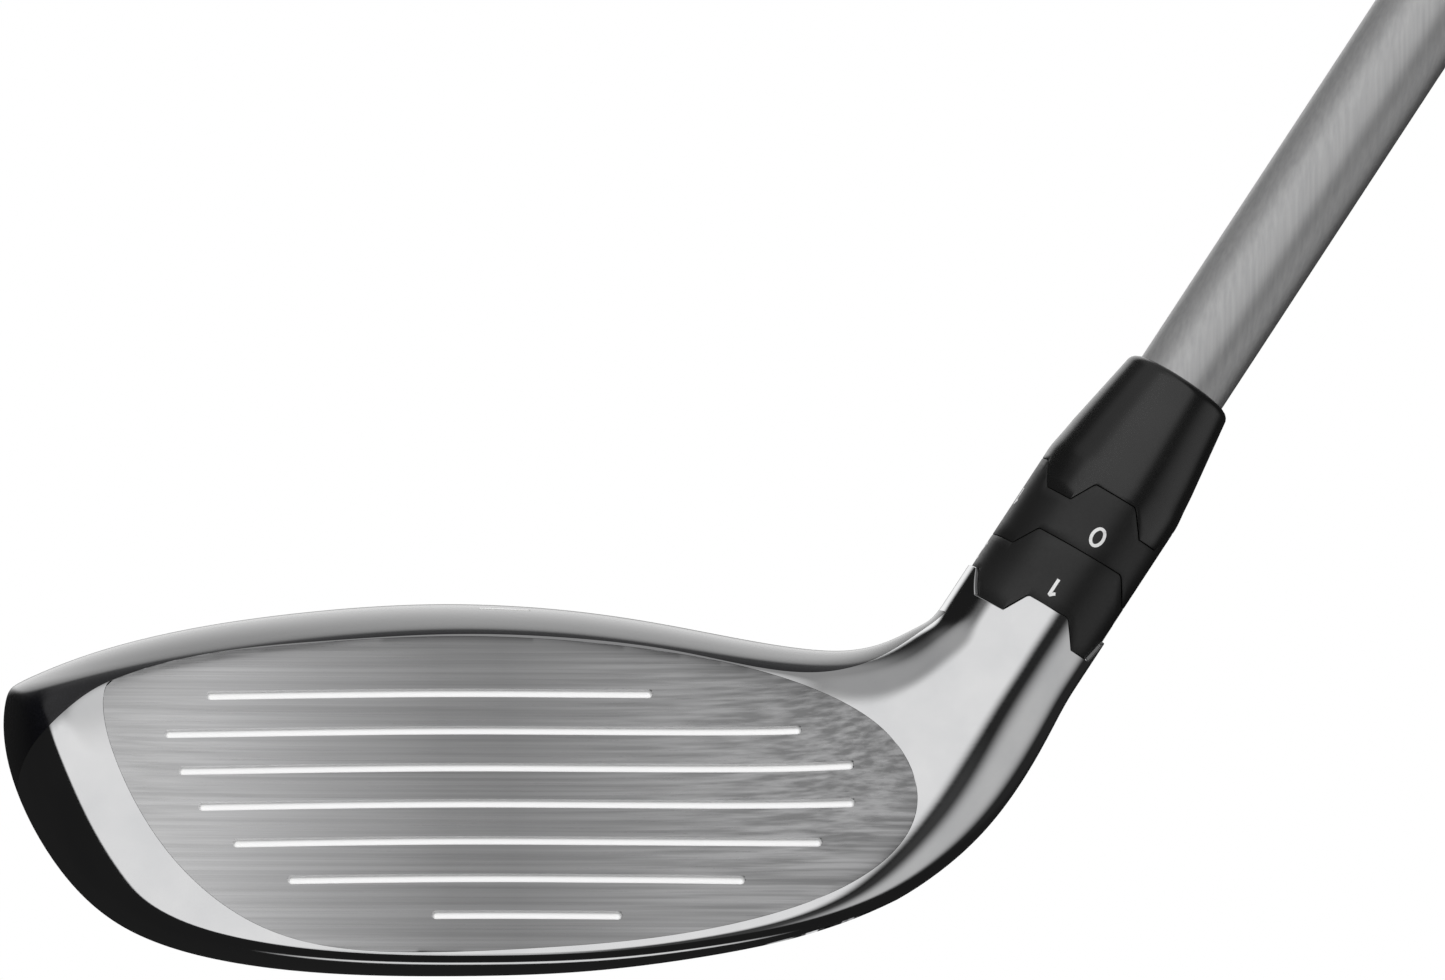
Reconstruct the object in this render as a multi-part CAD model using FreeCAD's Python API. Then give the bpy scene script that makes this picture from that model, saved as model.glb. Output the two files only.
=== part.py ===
import FreeCAD, Part
import math
import os

# Hybrid golf club, right-handed, with an adjustable hosel.
# Frame in millimetres: +Z up from the ground, the face looks along -Y and +X runs from toe to heel.
# The origin is the ground point under the face centre, and the shaft axis lies in the plane y = 0.

# ---- driving dimensions -------------------------------------------------------------------------

# whole club
lie_angle = 56.5            # shaft axis above the ground, degrees
loft_angle = 20.0           # face lean from vertical, degrees
axis_ground_x = 27.0        # where the shaft axis meets the ground
club_length = 1003.0        # ground to the butt end, along the shaft axis

# head
toe_reach = 49.0            # face centre to the toe tip
head_height = 37.7          # ground to the crown's apex
head_depth = 58.6           # leading edge to trailing edge
front_offset = 9.6          # leading edge ahead of the shaft axis
crown_rise = 4.0            # crown apex above the topline
nose_height = 1.2           # leading edge above the sole
rim_drop = 2.8              # hosel rim below the crown's apex

# walls
face_thickness = 2.4
crown_thickness = 1.2
sole_wall = 2.2
side_wall = 1.8
neck_wall = 1.9             # around the hosel bore
badge_depth = 0.7
bond_gap = 0.05             # all round a plate, cap or badge in its seat
hosel_skin = 0.8            # steel left between the hosel bore and the face plate
hollow_overlap = 0.3        # how far the hollow runs into the seats of the plate and the crown
cavity_stations = 10        # the hollow ends at this station, before the neck

# pieces bonded into the hollow: their lowest and highest corners, cut to the hollow
toe_weight_low = (-44.0, 6.0, 0.0)
toe_weight_high = (-34.0, 22.0, 12.0)
pad_low = (-20.0, -12.0, 0.0)
pad_high = (14.0, -1.0, 9.0)

# crown parting line
crown_slope = 0.30          # fall of the parting surface per millimetre rearwards
crown_lip = 0.6             # steel left between the face plate and the crown cap
crown_end_drop = 3.7        # end of the crown below the hosel rim

# shaft and grip
shaft_tip_radius = 4.7
shaft_butt_radius = 7.6
shaft_wall = 1.25
tip_parallel = 130.0        # straight part of the shaft above its lower end
butt_parallel = 255.0       # straight part of the shaft below its upper end
grip_length = 267.0
tape_thickness = 0.3
grip_mouth_wall = 2.0       # rubber over the tape at the grip's lower end
grip_butt_wall = 5.7        # and at its upper end
grip_cap_lip = 1.6          # cap beyond the grip
grip_cap_slope = 4.0        # inward run of the cap's sloping edge
grip_mouth_radius = shaft_butt_radius + tape_thickness + grip_mouth_wall
grip_butt_radius = shaft_butt_radius + tape_thickness + grip_butt_wall
grip_cap_radius = grip_butt_radius + grip_cap_lip
grip_cap_thickness = 5.0
grip_cap_band = 2.6         # height of the cap's straight side
grip_cap_face = grip_cap_radius - grip_cap_slope        # radius of the cap's flat end
grip_collar = 4.0           # straight bands at the grip's two ends
grip_edge = 0.8             # chamfer of the grip's mouth
plug_length = 6.0           # plug at the shaft's lower end
tip_weight_length = 12.0
stack_gap = 0.05            # between the pieces stacked inside the shaft and the sleeve
vent_radius = 1.6

# adapter
bore_clearance = 0.06       # radial, sleeve in hosel and cogs on sleeve
glue_gap = 0.05             # shaft in the sleeve
sleeve_wall = 0.85
cog_wall = 1.74
hosel_wall = 2.04
ferrule_wall = 1.0          # at the ferrule's top
stem_radius = shaft_tip_radius + glue_gap + sleeve_wall
stem_reach = 22.4           # sleeve's engagement below the hosel rim
cog_radius = stem_radius + bore_clearance + cog_wall
neck_radius = stem_radius + bore_clearance + hosel_wall     # outside of the hosel at its rim
rim_sink = 0.25             # hosel's toothed face below the rim's mean height
lower_cog_height = 6.35     # between the low sides of its two toothed faces
upper_cog_height = 6.45
ferrule_knee = 4.15         # ferrule's widest ring above its low toothed side
ferrule_height = 15.75
ferrule_top_radius = shaft_tip_radius + glue_gap + ferrule_wall
ferrule_edge = 0.9          # rounding of the ferrule's top
ring_section = 0.6          # retaining ring's radial thickness
ring_height = 1.0
ring_gap = 0.08             # retaining ring in its groove

# toothed faces
index_tabs = 4              # tabs on the hosel and on the ferrule's cog
index_half_width = 2.25     # half a tab's top
index_tab_height = 2.5
index_angle = 1.7           # hosel's tab centre from the front, towards the heel, degrees
ferrule_angle = -1.3        # same for the tabs under the ferrule
pair_tabs = 2               # tabs between the two cogs
pair_half_width = 4.65
pair_tab_height = 2.5
pair_angle = 0.5
toe_flank = 0.50            # sideways run per millimetre of height of a tab's flank on its toe side
heel_flank = 0.85           # same on its heel side
tab_round = 0.45
face_gap = 0.05             # between two toothed faces
rim_tilt = 3.6              # slope of each toothed face, lower on the toe side, degrees
pair_tilt = 4.0
ferrule_tilt = 3.5
face_lean = 4.3             # slope of all three, lower at the front

# running fits
seat_gap = 0.05             # either side of a washer, so that it moves freely
screw_clearance = 0.10      # radial, screw in its washer
thread_clearance = 0.15     # radial, thread crests in a threaded piece

# retaining screw under the hosel
screw_radius = 2.5
screw_length = 11.0         # threaded stretch inside the sleeve
screw_end_gap = 1.5         # screw's end below the shaft's seat
insert_wall = 1.0           # threaded insert around the screw's thread
floor_gap = 0.5             # sleeve's end above the bore's floor
screw_head_radius = 4.0
screw_head_height = 2.9
screw_washer_thickness = 0.8
screw_drive_radius = 1.9
screw_drive_depth = 1.9
web_thickness = 2.0         # floor of the hosel bore
port_gap = 0.5              # radial, head in its port
washer_margin = 0.2         # screw's washer beyond its head

# rear weight
weight_radius = 6.2
weight_height = 5.0
weight_stud_radius = 3.0
weight_stud_length = 4.5
weight_y = 33.0             # centre of the weight behind the origin
weight_x = -4.0
weight_lean = 17.0          # axis from vertical, towards the rear, degrees
weight_recess = 0.6         # weight's face inside the sole
weight_washer_thickness = 0.6
weight_gap = 0.3
weight_washer_margin = 0.4  # washer inside the weight's edge
stud_end_gap = 0.5          # clear of the stud's end
boss_wall = 1.6

# The head's stations from toe to neck. Each row holds the top point (x, z), the sole point (x, z),
# the front and rear y, the height share of the trailing edge, and how round the section is.
# They are drawn for a head of the three drawn sizes below and follow the driving sizes above.
drawn_reach, drawn_height, drawn_depth = 49.0, 37.7, 58.6
toe_tip = (-49.0, 11.0, 25.8)
stations = [
    (-49.0, 28.0, -49.0, 22.6, 6.0, 16.0, 0.50, 1.00),
    (-48.7, 28.7, -48.0, 17.9, 0.0, 21.0, 0.50, 0.80),
    (-46.2, 30.1, -44.2, 10.4, -5.6, 28.0, 0.46, 0.35),
    (-40.0, 32.6, -38.5, 4.4, -8.0, 36.0, 0.44, 0.08),
    (-30.0, 35.1, -29.0, 1.5, -9.0, 43.0, 0.43, 0.00),
    (-18.0, 36.8, -17.5, 0.3, -9.4, 47.5, 0.42, 0.00),
    (-6.0, 37.7, -6.0, 0.2, -9.6, 49.0, 0.42, 0.00),
    (6.0, 37.2, 6.5, 0.5, -9.5, 48.0, 0.42, 0.00),
    (15.5, 35.8, 17.0, 1.8, -9.3, 44.5, 0.43, 0.02),
    (23.0, 34.2, 26.0, 3.4, -9.1, 39.0, 0.45, 0.08),
    (29.0, 33.1, 34.5, 5.8, -8.9, 31.0, 0.47, 0.25),
    (33.5, 32.6, 41.5, 9.9, -8.7, 22.5, 0.50, 0.55),
    (36.8, 33.1, 46.9, 14.7, -8.4, 14.5, 0.50, 0.85),
    (39.4, 34.4, 51.1, 20.9, -8.0, 10.0, 0.50, 1.00),
]
poles_per_section = 20
neck_rings = (-4.7, -2.4, 0.1, 4.1)     # round sections about the hosel rim, along the axis

# Poles of the face plate's outline, clockwise: x, and height up the face.
plate_outline = [
    (-28.0, 30.6), (-14.0, 32.0), (0.0, 32.3), (15.0, 30.8), (25.5, 28.2), (32.6, 23.9),
    (37.4, 18.4), (39.2, 12.2), (34.2, 6.9), (25.0, 2.9), (13.0, 0.2), (0.0, -0.9),
    (-14.0, -1.5), (-24.5, -0.3), (-31.8, 4.4), (-37.0, 10.8), (-40.4, 18.4), (-41.6, 24.4),
    (-40.2, 29.4),
]

# Points of the crown's parting line in the plane y = 0: x and z, from toe to neck.
crown_line = [
    (-60.0, 21.9), (-48.6, 22.0), (-46.6, 23.8), (-42.5, 27.5), (-38.2, 29.8), (-32.0, 31.8),
    (-19.0, 33.5), (-5.0, 34.3), (6.0, 33.9), (16.0, 32.5), (24.0, 30.5), (31.0, 29.9),
    (36.0, 31.4), (42.0, 35.2), (60.0, 47.0),
]

# Poles of the sole badge's outline, clockwise from above: x and y.
badge_outline = [(-22.0, 12.0), (-14.0, 23.0), (6.0, 22.0), (15.0, 16.0), (6.0, 10.0), (-10.0, 9.0)]

# ---- helpers ------------------------------------------------------------------------------------

V = FreeCAD.Vector
lie = math.radians(lie_angle)
loft = math.radians(loft_angle)
axis = V(math.cos(lie), 0, math.sin(lie))
face_normal = V(0, -math.cos(loft), math.sin(loft))
face_up = V(0, math.sin(loft), math.cos(loft))
rim = (head_height - rim_drop) / math.sin(lie)          # hosel rim above the ground, along the axis
rim_seat = rim - rim_sink                               # low side of the hosel's toothed face
upper_seat = rim_seat + lower_cog_height                # low side of the faces between the cogs
ferrule_seat = upper_seat + upper_cog_height            # low side of the faces under the ferrule
sleeve_low = rim - stem_reach                           # sleeve's lower end
shaft_seat = sleeve_low + screw_length                  # shaft's lower end, above the screw's thread
bore_floor = sleeve_low - floor_gap                     # the sleeve stops just above the bore's floor
web_low = bore_floor - web_thickness                    # underside of the bore's floor
hosel_bore = stem_radius + bore_clearance
pocket_depth = weight_height + weight_washer_thickness + 2 * seat_gap
far = 200.0                                             # longer than anything it cuts
over = 1.0                                              # how far a cut runs past what it cuts


def along_axis(shape):
    """Turn a shape drawn about +Z from the ground point onto the shaft axis."""
    placed = shape.copy()
    placed.rotate(V(0, 0, 0), V(0, 1, 0), 90 - lie_angle)
    placed.translate(V(axis_ground_x, 0, 0))
    return placed


def rod(radius, low, high):
    return Part.makeCylinder(radius, high - low, V(0, 0, low))


def tube(outer, inner, low, high):
    return rod(outer, low, high).cut(rod(inner, low - over, high + over))


def turned(profile):
    """Solid of revolution about Z of a closed outline of (radius, height) points."""
    points = [V(r, 0, z) for r, z in profile]
    outline = Part.makePolygon(points + points[:1])
    return Part.Face(outline).revolve(V(0, 0, 0), V(0, 0, 1), 360)


def one_solid(shape):
    """The largest solid of a result, which drops slivers of a cut."""
    solids = sorted(shape.Solids, key=lambda solid: solid.Volume)
    return solids[-1]


def grown(outline, gap):
    """A closed outline of (x, y) poles that runs clockwise, moved outwards by a gap."""
    moved = []
    for before, here, after in zip(outline[-1:] + outline[:-1], outline, outline[1:] + outline[:1]):
        run = (after[0] - before[0], after[1] - before[1])
        length = math.hypot(*run)
        moved.append((here[0] - gap * run[1] / length, here[1] + gap * run[0] / length))
    return moved


def closed_spline(points):
    """Periodic cubic curve with the points as its poles."""
    curve = Part.BSplineCurve()
    curve.buildFromPolesMultsKnots(points, [1] * (len(points) + 1), list(range(len(points) + 1)), True, 3)
    return Part.Wire([curve.toShape()])


# ---- head surface -------------------------------------------------------------------------------


def fitted_station(station, inset=0.0):
    """A station at the driving sizes; neck stations keep their place about the shaft axis."""
    top_x, top_z, sole_x, sole_z, front, rear, tail, roundness = station

    def place(x, z):
        new_z = z * head_height / drawn_height
        if x < 0:
            return (x + math.copysign(inset, -x)) * toe_reach / drawn_reach, new_z
        share = min(1.0, x / axis_ground_x)
        return x + share * (new_z - z) / math.tan(lie), new_z

    top = place(top_x, top_z)
    sole = place(sole_x, sole_z)
    if rear > neck_radius:
        rear = neck_radius + (rear - neck_radius) * (head_depth - front_offset - neck_radius) / (
            drawn_depth - front_offset - neck_radius)
    return top, sole, front, rear, tail, roundness


def section_poles(top, sole, front, rear, tail, roundness):
    """Poles of one closed section: flat lofted face, domed crown, low tail and cambered sole,
    blended with an ellipse by its roundness. Heights run from the sole point to the top point."""
    height = math.hypot(top[0] - sole[0], top[1] - sole[1])
    up_x = (top[0] - sole[0]) / height
    up_z = (top[1] - sole[1]) / height
    size = min(1.0, height / 34.0)
    rise = crown_rise * size
    nose = nose_height * size
    edge = height - rise
    edge_y = min(front + (edge - nose) * math.tan(loft), front + 0.45 * (rear - front))
    face = math.hypot(edge_y - front, edge - nose)
    lean = (edge_y - front) / face
    climb = (edge - nose) / face
    tail_height = tail * height
    fall = height - tail_height
    depth = rear - edge_y
    whole = rear - front
    climbs = (0.0, 2.0 * size, 6.0 * size, 0.40 * face, 0.62 * face)
    drawn = [(front + s * lean, nose + s * climb) for s in climbs]
    drawn += [(edge_y - s * lean, edge - s * climb) for s in (5.0 * size, 1.6 * size)]
    drawn += [
        (edge_y, edge + 0.15 * size),
        (edge_y + 0.05 * depth, edge + 0.30 * rise),
        (edge_y + 0.17 * depth, edge + 0.80 * rise),
        (edge_y + 0.38 * depth, height + 0.25 * size),
        (edge_y + 0.62 * depth, height - 0.20 * fall),
        (edge_y + 0.84 * depth, height - 0.50 * fall),
        (rear + 0.4 * size, tail_height + 0.13 * height),
        (rear + 0.2 * size, tail_height - 0.10 * height),
        (front + 0.86 * whole, 0.42 * tail_height),
        (front + 0.66 * whole, 0.13 * tail_height),
        (front + 0.43 * whole, -0.05 * size),
        (front + 0.20 * whole, -0.15 * size),
        (front + 2.0 * size, 0.20 * size),
    ]
    step = 2 * math.pi / poles_per_section
    shrink = (4 + 2 * math.cos(step)) / 6          # a round section's radius over its poles' radius
    poles = []
    for index, (y, h) in enumerate(drawn):
        angle = (index - 3.5) * step
        round_y = (front + rear) / 2 - whole / 2 * math.cos(angle) / shrink
        round_h = height / 2 + height / 2 * math.sin(angle) / shrink
        y = (1 - roundness) * y + roundness * round_y
        h = (1 - roundness) * h + roundness * round_h
        poles.append(V(sole[0] + up_x * h, y, sole[1] + up_z * h))
    return poles


def neck_section(t):
    """Round section square to the shaft axis, t above the ground along it."""
    centre = V(axis_ground_x, 0, 0) + axis * t
    across = V(math.sin(lie), 0, -math.cos(lie)) * neck_radius
    top = centre - across
    sole = centre + across
    return section_poles((top.x, top.z), (sole.x, sole.z), -neck_radius, neck_radius, 0.5, 1.0)


def lofted_solid(rows):
    """Solid inside the bicubic surface with these rows of poles, closed flat at its last row."""
    surface = Part.BSplineSurface()
    spans = len(rows) - 3
    around = len(rows[0])
    surface.buildFromPolesMultsKnots(
        rows, [4] + [1] * (spans - 1) + [4], [1] * (around + 1),
        list(range(spans + 1)), list(range(around + 1)), False, True, 3, 3)
    skin = surface.toShape()
    end_curve = surface.uIso(spans)
    cap = Part.Face(Part.Wire([end_curve.toShape()]))
    shell = Part.makeShell([skin, cap])
    shell.sewShape()
    solid = Part.Solid(shell)
    if solid.Volume < 0:
        solid.reverse()
    return solid


def head_outside():
    scale = toe_reach / drawn_reach
    tip = V(toe_tip[0] * scale, toe_tip[1], toe_tip[2] * head_height / drawn_height)
    rows = [[tip] * poles_per_section]
    rows += [section_poles(*fitted_station(station)) for station in stations]
    rows += [neck_section(rim + offset) for offset in neck_rings]
    return lofted_solid(rows)


def head_cavity():
    """The hollow behind the face, from the toe to the heel side of the body."""
    rows = []
    for station in stations[1:cavity_stations]:
        top, sole, front, rear, tail, roundness = fitted_station(station, side_wall)
        length = math.hypot(top[0] - sole[0], top[1] - sole[1])
        up_x = (top[0] - sole[0]) / length
        up_z = (top[1] - sole[1]) / length
        roof = crown_thickness - hollow_overlap
        top = (top[0] - up_x * roof, top[1] - up_z * roof)
        sole = (sole[0] + up_x * sole_wall, sole[1] + up_z * sole_wall)
        front = front + (face_thickness - hollow_overlap) / math.cos(loft)
        rows.append(section_poles(top, sole, front, rear - side_wall, tail, roundness))
    middle = V(0, 0, 0)
    for pole in rows[0]:
        middle += pole
    rows.insert(0, [middle * (1.0 / poles_per_section)] * poles_per_section)
    body = lofted_solid(rows)
    return body.cut(along_axis(rod(hosel_bore + neck_wall, 0, rim)))


def skin_layer(outside, direction, thickness):
    """The layer of a solid that a copy of it, moved along the direction, leaves bare."""
    moved = outside.copy()
    moved.translate(direction * thickness)
    return outside.cut(moved)


def face_prism(gap):
    """Prism along the face normal inside the plate's outline, grown by a clearance."""
    scale = toe_reach / drawn_reach
    tall = head_height / drawn_height
    outline = [(x * scale if x < 0 else x, h * tall) for x, h in plate_outline]
    wire = closed_spline([V(x, 0, 0) + face_up * h for x, h in grown(outline, gap)])
    wire.translate(face_normal * far)
    return Part.Face(wire).extrude(face_normal * (-2 * far))


def crown_prism(lift):
    """Everything above the crown's parting surface, up to the crown's end across the neck."""
    tall = head_height / drawn_height
    wide = toe_reach / drawn_reach
    points = [V(x * wide if x < 0 else x, 0, z * tall + lift) for x, z in crown_line]
    curve = Part.BSplineCurve()
    curve.interpolate(points)
    first, last = points[0], points[-1]
    outline = Part.Wire([
        curve.toShape(),
        Part.makeLine(last, V(last.x, 0, far)),
        Part.makeLine(V(last.x, 0, far), V(first.x, 0, far)),
        Part.makeLine(V(first.x, 0, far), first),
    ])
    sweep = V(0, 1, -crown_slope)
    outline.translate(sweep * -head_depth)
    above = Part.Face(outline).extrude(sweep * (3 * head_depth))
    return above.cut(along_axis(rod(far, rim - crown_end_drop, far)))


def badge_prism(gap):
    wire = closed_spline([V(x, y, -head_height) for x, y in grown(badge_outline, gap)])
    return Part.Face(wire).extrude(V(0, 0, head_height + crown_thickness * 10))


# ---- toothed faces ------------------------------------------------------------------------------


def tab(half_width, height, angle, gap):
    """One trapezoid tab on the plane z = 0, pointing up, as a bar that runs out from the axis."""
    below = 2.0

    def reach(run, z):
        """Half width at a height z, with a flank that runs out by this much for each millimetre."""
        return half_width + (height - z) * run + gap * math.hypot(1, run)

    outline = Part.makePolygon([
        V(-reach(toe_flank, -below), 0, -below), V(reach(heel_flank, -below), 0, -below),
        V(reach(heel_flank, height + gap), 0, height + gap),
        V(-reach(toe_flank, height + gap), 0, height + gap),
        V(-reach(toe_flank, -below), 0, -below),
    ])
    bar = Part.Face(outline).extrude(V(0, -2 * cog_radius - 2 * neck_radius, 0))
    top_edges = [e for e in bar.Edges if abs(e.CenterOfMass.z - height - gap) < 1e-6
                 and abs(e.CenterOfMass.x) > half_width / 2]
    bar = bar.makeFillet(tab_round + gap, top_edges)
    bar.rotate(V(0, 0, 0), V(0, 0, 1), angle)
    return bar


def below_face(seat, tilt, tabs, half_width, height, angle, gap):
    """Everything under a toothed face whose low side is at this height on the axis."""
    mass = Part.makeCylinder(far, far, V(0, 0, gap - far))
    for number in range(tabs):
        mass = mass.fuse(tab(half_width, height, angle + number * 360.0 / tabs, gap))
    mass.rotate(V(0, 0, 0), V(0, 1, 0), -tilt)
    mass.rotate(V(0, 0, 0), V(1, 0, 0), face_lean)
    mass.translate(V(0, 0, seat))
    return mass


def below_rim(gap=0.0):
    return below_face(rim_seat, rim_tilt, index_tabs, index_half_width, index_tab_height, index_angle, gap)


def below_pair(gap=0.0):
    return below_face(upper_seat, pair_tilt, pair_tabs, pair_half_width, pair_tab_height, pair_angle, gap)


def below_ferrule(gap=0.0):
    return below_face(ferrule_seat, ferrule_tilt, index_tabs, index_half_width, index_tab_height,
                      ferrule_angle, gap)


# ---- head pieces --------------------------------------------------------------------------------


def screw_port():
    """Bore for the sleeve, clearance hole in the web, and the port for the screw's head."""
    hole = screw_radius + screw_clearance
    return rod(hosel_bore, bore_floor, far).fuse([
        rod(hole, web_low - over, bore_floor + over),
        rod(screw_head_radius + port_gap, -head_height, web_low),
    ])


def weight_place(shape):
    """Turn a shape drawn about Z, with its outer face at z = 0, onto the rear weight's axis."""
    placed = shape.copy()
    placed.rotate(V(0, 0, 0), V(1, 0, 0), weight_lean)
    placed.translate(weight_anchor())
    return placed


def weight_anchor():
    """Point of the sole's outside on the weight's axis, moved in by the recess."""
    lean = math.radians(weight_lean)
    inward = V(0, -math.sin(lean), math.cos(lean))
    centre = V(weight_x, weight_y, 0)
    line = Part.makeLine(centre - inward * head_height, centre + inward * head_height / 2)
    crossing = line.common(outside)
    low = min((vertex.Point for vertex in crossing.Vertexes), key=lambda point: point.z)
    return low + inward * weight_recess


def weight_pocket():
    """Counterbore for the weight and the hole for its stud, open to below."""
    stud_end = pocket_depth + weight_stud_length + stud_end_gap
    return rod(weight_radius + weight_gap, -weight_height, pocket_depth).fuse(
        rod(weight_stud_radius + thread_clearance, pocket_depth - over, stud_end))


def weight_boss():
    stud_end = pocket_depth + weight_stud_length + stud_end_gap
    wide = rod(weight_radius + weight_gap + boss_wall, -weight_height, pocket_depth + boss_wall)
    narrow = rod(weight_stud_radius + thread_clearance + boss_wall, pocket_depth, stud_end + boss_wall)
    return wide.fuse(narrow)


def plate_space(gap):
    """The space of the face plate, grown by a gap, below the crown and clear of the hosel's bore."""
    layer = skin_layer(outside, face_normal * -1, face_thickness + gap)
    space = layer.common(face_prism(gap)).cut(crown_prism(-gap))
    return space.cut(along_axis(rod(hosel_bore + hosel_skin + bond_gap - gap, 0, far)))


def make_face_plate():
    return one_solid(plate_space(0))


def make_crown_cap():
    layer = skin_layer(outside, V(0, 0, -1), crown_thickness)
    return one_solid(layer.common(crown_prism(crown_lip)))


def make_sole_badge():
    layer = skin_layer(outside, V(0, 0, 1), badge_depth)
    return one_solid(layer.common(badge_prism(0)))


def make_head_shell(cavity):
    shell = outside.cut(cavity)
    shell = shell.fuse(weight_place(weight_boss()).common(outside))
    shell = shell.cut(plate_space(bond_gap))
    crown_seat = skin_layer(outside, V(0, 0, -1), crown_thickness + bond_gap)
    shell = shell.cut(crown_seat.common(crown_prism(crown_lip - bond_gap)))
    shell = shell.cut(skin_layer(outside, V(0, 0, 1), badge_depth + bond_gap).common(badge_prism(bond_gap)))
    shell = shell.cut(weight_place(weight_pocket()))
    shell = shell.cut(along_axis(screw_port()))
    above_rim = rod(2 * neck_radius, rim - neck_radius, far).cut(below_rim())
    return one_solid(shell.cut(along_axis(above_rim)))


def cavity_piece(cavity, low, high):
    """The part of the hollow inside a box, so that the piece seats on the walls around it."""
    sizes = [b - a for a, b in zip(low, high)]
    box = Part.makeBox(*sizes, V(*low))
    return one_solid(cavity.common(box).cut(plate_space(bond_gap)))


def make_toe_weight(cavity):
    return cavity_piece(cavity, toe_weight_low, toe_weight_high)


def make_damping_pad(cavity):
    return cavity_piece(cavity, pad_low, pad_high)


# ---- adapter and shaft --------------------------------------------------------------------------


def make_adapter_sleeve():
    body = rod(stem_radius, sleeve_low, ferrule_seat + ferrule_knee)
    body = body.cut(rod(shaft_tip_radius + glue_gap, shaft_seat, far))
    return body.cut(rod(insert_radius(), sleeve_low - over, shaft_seat + over))


def insert_radius():
    return screw_radius + thread_clearance + insert_wall


def make_thread_insert():
    return tube(insert_radius(), screw_radius + thread_clearance, sleeve_low, shaft_seat)


def make_ferrule():
    top = ferrule_seat + ferrule_height
    knee = ferrule_seat + ferrule_knee
    low = ferrule_seat - index_tab_height
    outline = [
        (cog_radius, low), (cog_radius, knee), (ferrule_top_radius, top - ferrule_edge),
        (ferrule_top_radius - 0.3 * ferrule_edge, top - 0.3 * ferrule_edge),
        (ferrule_top_radius - ferrule_edge, top), (shaft_tip_radius + glue_gap, top),
        (shaft_tip_radius + glue_gap, knee), (stem_radius + glue_gap, knee), (stem_radius + glue_gap, low),
    ]
    return one_solid(turned(outline).cut(below_ferrule(face_gap)))


def make_upper_cog():
    high = ferrule_seat + 2 * index_tab_height
    ring = tube(cog_radius, stem_radius + bore_clearance, upper_seat - pair_tab_height, high)
    return one_solid(ring.cut(below_pair(face_gap)).common(below_ferrule()))


def make_lower_cog():
    bore = stem_radius + bore_clearance
    ring = tube(cog_radius, bore, rim_seat - index_tab_height, upper_seat + 2 * pair_tab_height)
    groove = rod(bore + ring_section + ring_gap, ring_low() - ring_gap, ring_low() + ring_height + ring_gap)
    return one_solid(ring.cut(groove).cut(below_rim(face_gap)).common(below_pair()))


def shaft_radius_at(t):
    """Outside radius of the shaft: straight tip, even taper, straight butt."""
    start = shaft_seat + tip_parallel
    end = club_length - grip_cap_thickness - butt_parallel
    share = min(1.0, max(0.0, (t - start) / (end - start)))
    return shaft_tip_radius + share * (shaft_butt_radius - shaft_tip_radius)


def shaft_outline(low, high, inward):
    bends = [low, shaft_seat + tip_parallel, club_length - grip_cap_thickness - butt_parallel, high]
    bends = [t for t in bends if low <= t <= high]
    return [(shaft_radius_at(t) - inward, t) for t in bends]


def make_shaft():
    low = shaft_seat + stack_gap
    high = club_length - grip_cap_thickness
    outside_line = shaft_outline(low, high, 0)
    inside_line = shaft_outline(low, high, shaft_wall)
    return turned(outside_line + inside_line[::-1])


def make_tip_plug():
    low = shaft_seat + stack_gap
    return rod(shaft_tip_radius - shaft_wall - glue_gap, low, low + plug_length)


def make_tip_weight():
    low = shaft_seat + plug_length + 2 * stack_gap
    return rod(shaft_tip_radius - shaft_wall - glue_gap, low, low + tip_weight_length)


def make_grip_tape():
    low = club_length - grip_length
    high = club_length - grip_cap_thickness
    return tube(shaft_butt_radius + tape_thickness, shaft_butt_radius, low, high)


def make_grip():
    low = club_length - grip_length
    high = club_length - grip_cap_thickness
    inner = shaft_butt_radius + tape_thickness
    flare = grip_cap_radius - grip_edge
    return turned([
        (inner, low), (grip_mouth_radius - grip_edge, low), (grip_mouth_radius, low + grip_edge),
        (grip_mouth_radius, low + grip_collar), (grip_butt_radius, high - grip_collar),
        (flare, high - grip_edge), (flare, high), (inner, high),
    ])


def make_grip_cap():
    low = club_length - grip_cap_thickness
    return turned([
        (vent_radius, low), (grip_cap_radius - grip_edge, low), (grip_cap_radius, low + grip_edge),
        (grip_cap_radius, low + grip_cap_band),
        (grip_cap_radius - 2 * grip_edge, club_length - grip_edge),
        (grip_cap_face, club_length), (vent_radius, club_length),
    ])


# ---- fasteners and rings ------------------------------------------------------------------------


def ring_low():
    """Lower side of the retaining ring, in the full band of the lower cog."""
    return rim_seat + (index_tab_height + lower_cog_height - ring_height) / 2


def make_retaining_ring():
    """Rubber ring that grips the sleeve inside the lower cog and keeps the cogs on it."""
    inner = stem_radius + bore_clearance
    return tube(inner + ring_section, inner, ring_low(), ring_low() + ring_height)


def make_retaining_screw():
    seat = web_low - screw_washer_thickness - 2 * seat_gap
    low = seat - screw_head_height
    head = rod(screw_head_radius, low, seat)
    stem = rod(screw_radius, seat, shaft_seat - screw_end_gap)
    return head.fuse(stem).cut(rod(screw_drive_radius, low - over, low + screw_drive_depth))


def make_screw_washer():
    high = web_low - seat_gap
    hole = screw_radius + screw_clearance
    return tube(screw_head_radius + washer_margin, hole, high - screw_washer_thickness, high)


def make_rear_weight():
    stud = rod(weight_stud_radius, weight_height - over, pocket_depth + weight_stud_length)
    body = rod(weight_radius, 0, weight_height).fuse(stud)
    return weight_place(body.cut(rod(screw_drive_radius, -over, screw_drive_depth)))


def make_weight_washer():
    low = weight_height + seat_gap
    high = low + weight_washer_thickness
    outer = weight_radius - weight_washer_margin
    return weight_place(tube(outer, weight_stud_radius + screw_clearance, low, high))


# ---- build --------------------------------------------------------------------------------------

outside = head_outside()


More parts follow.
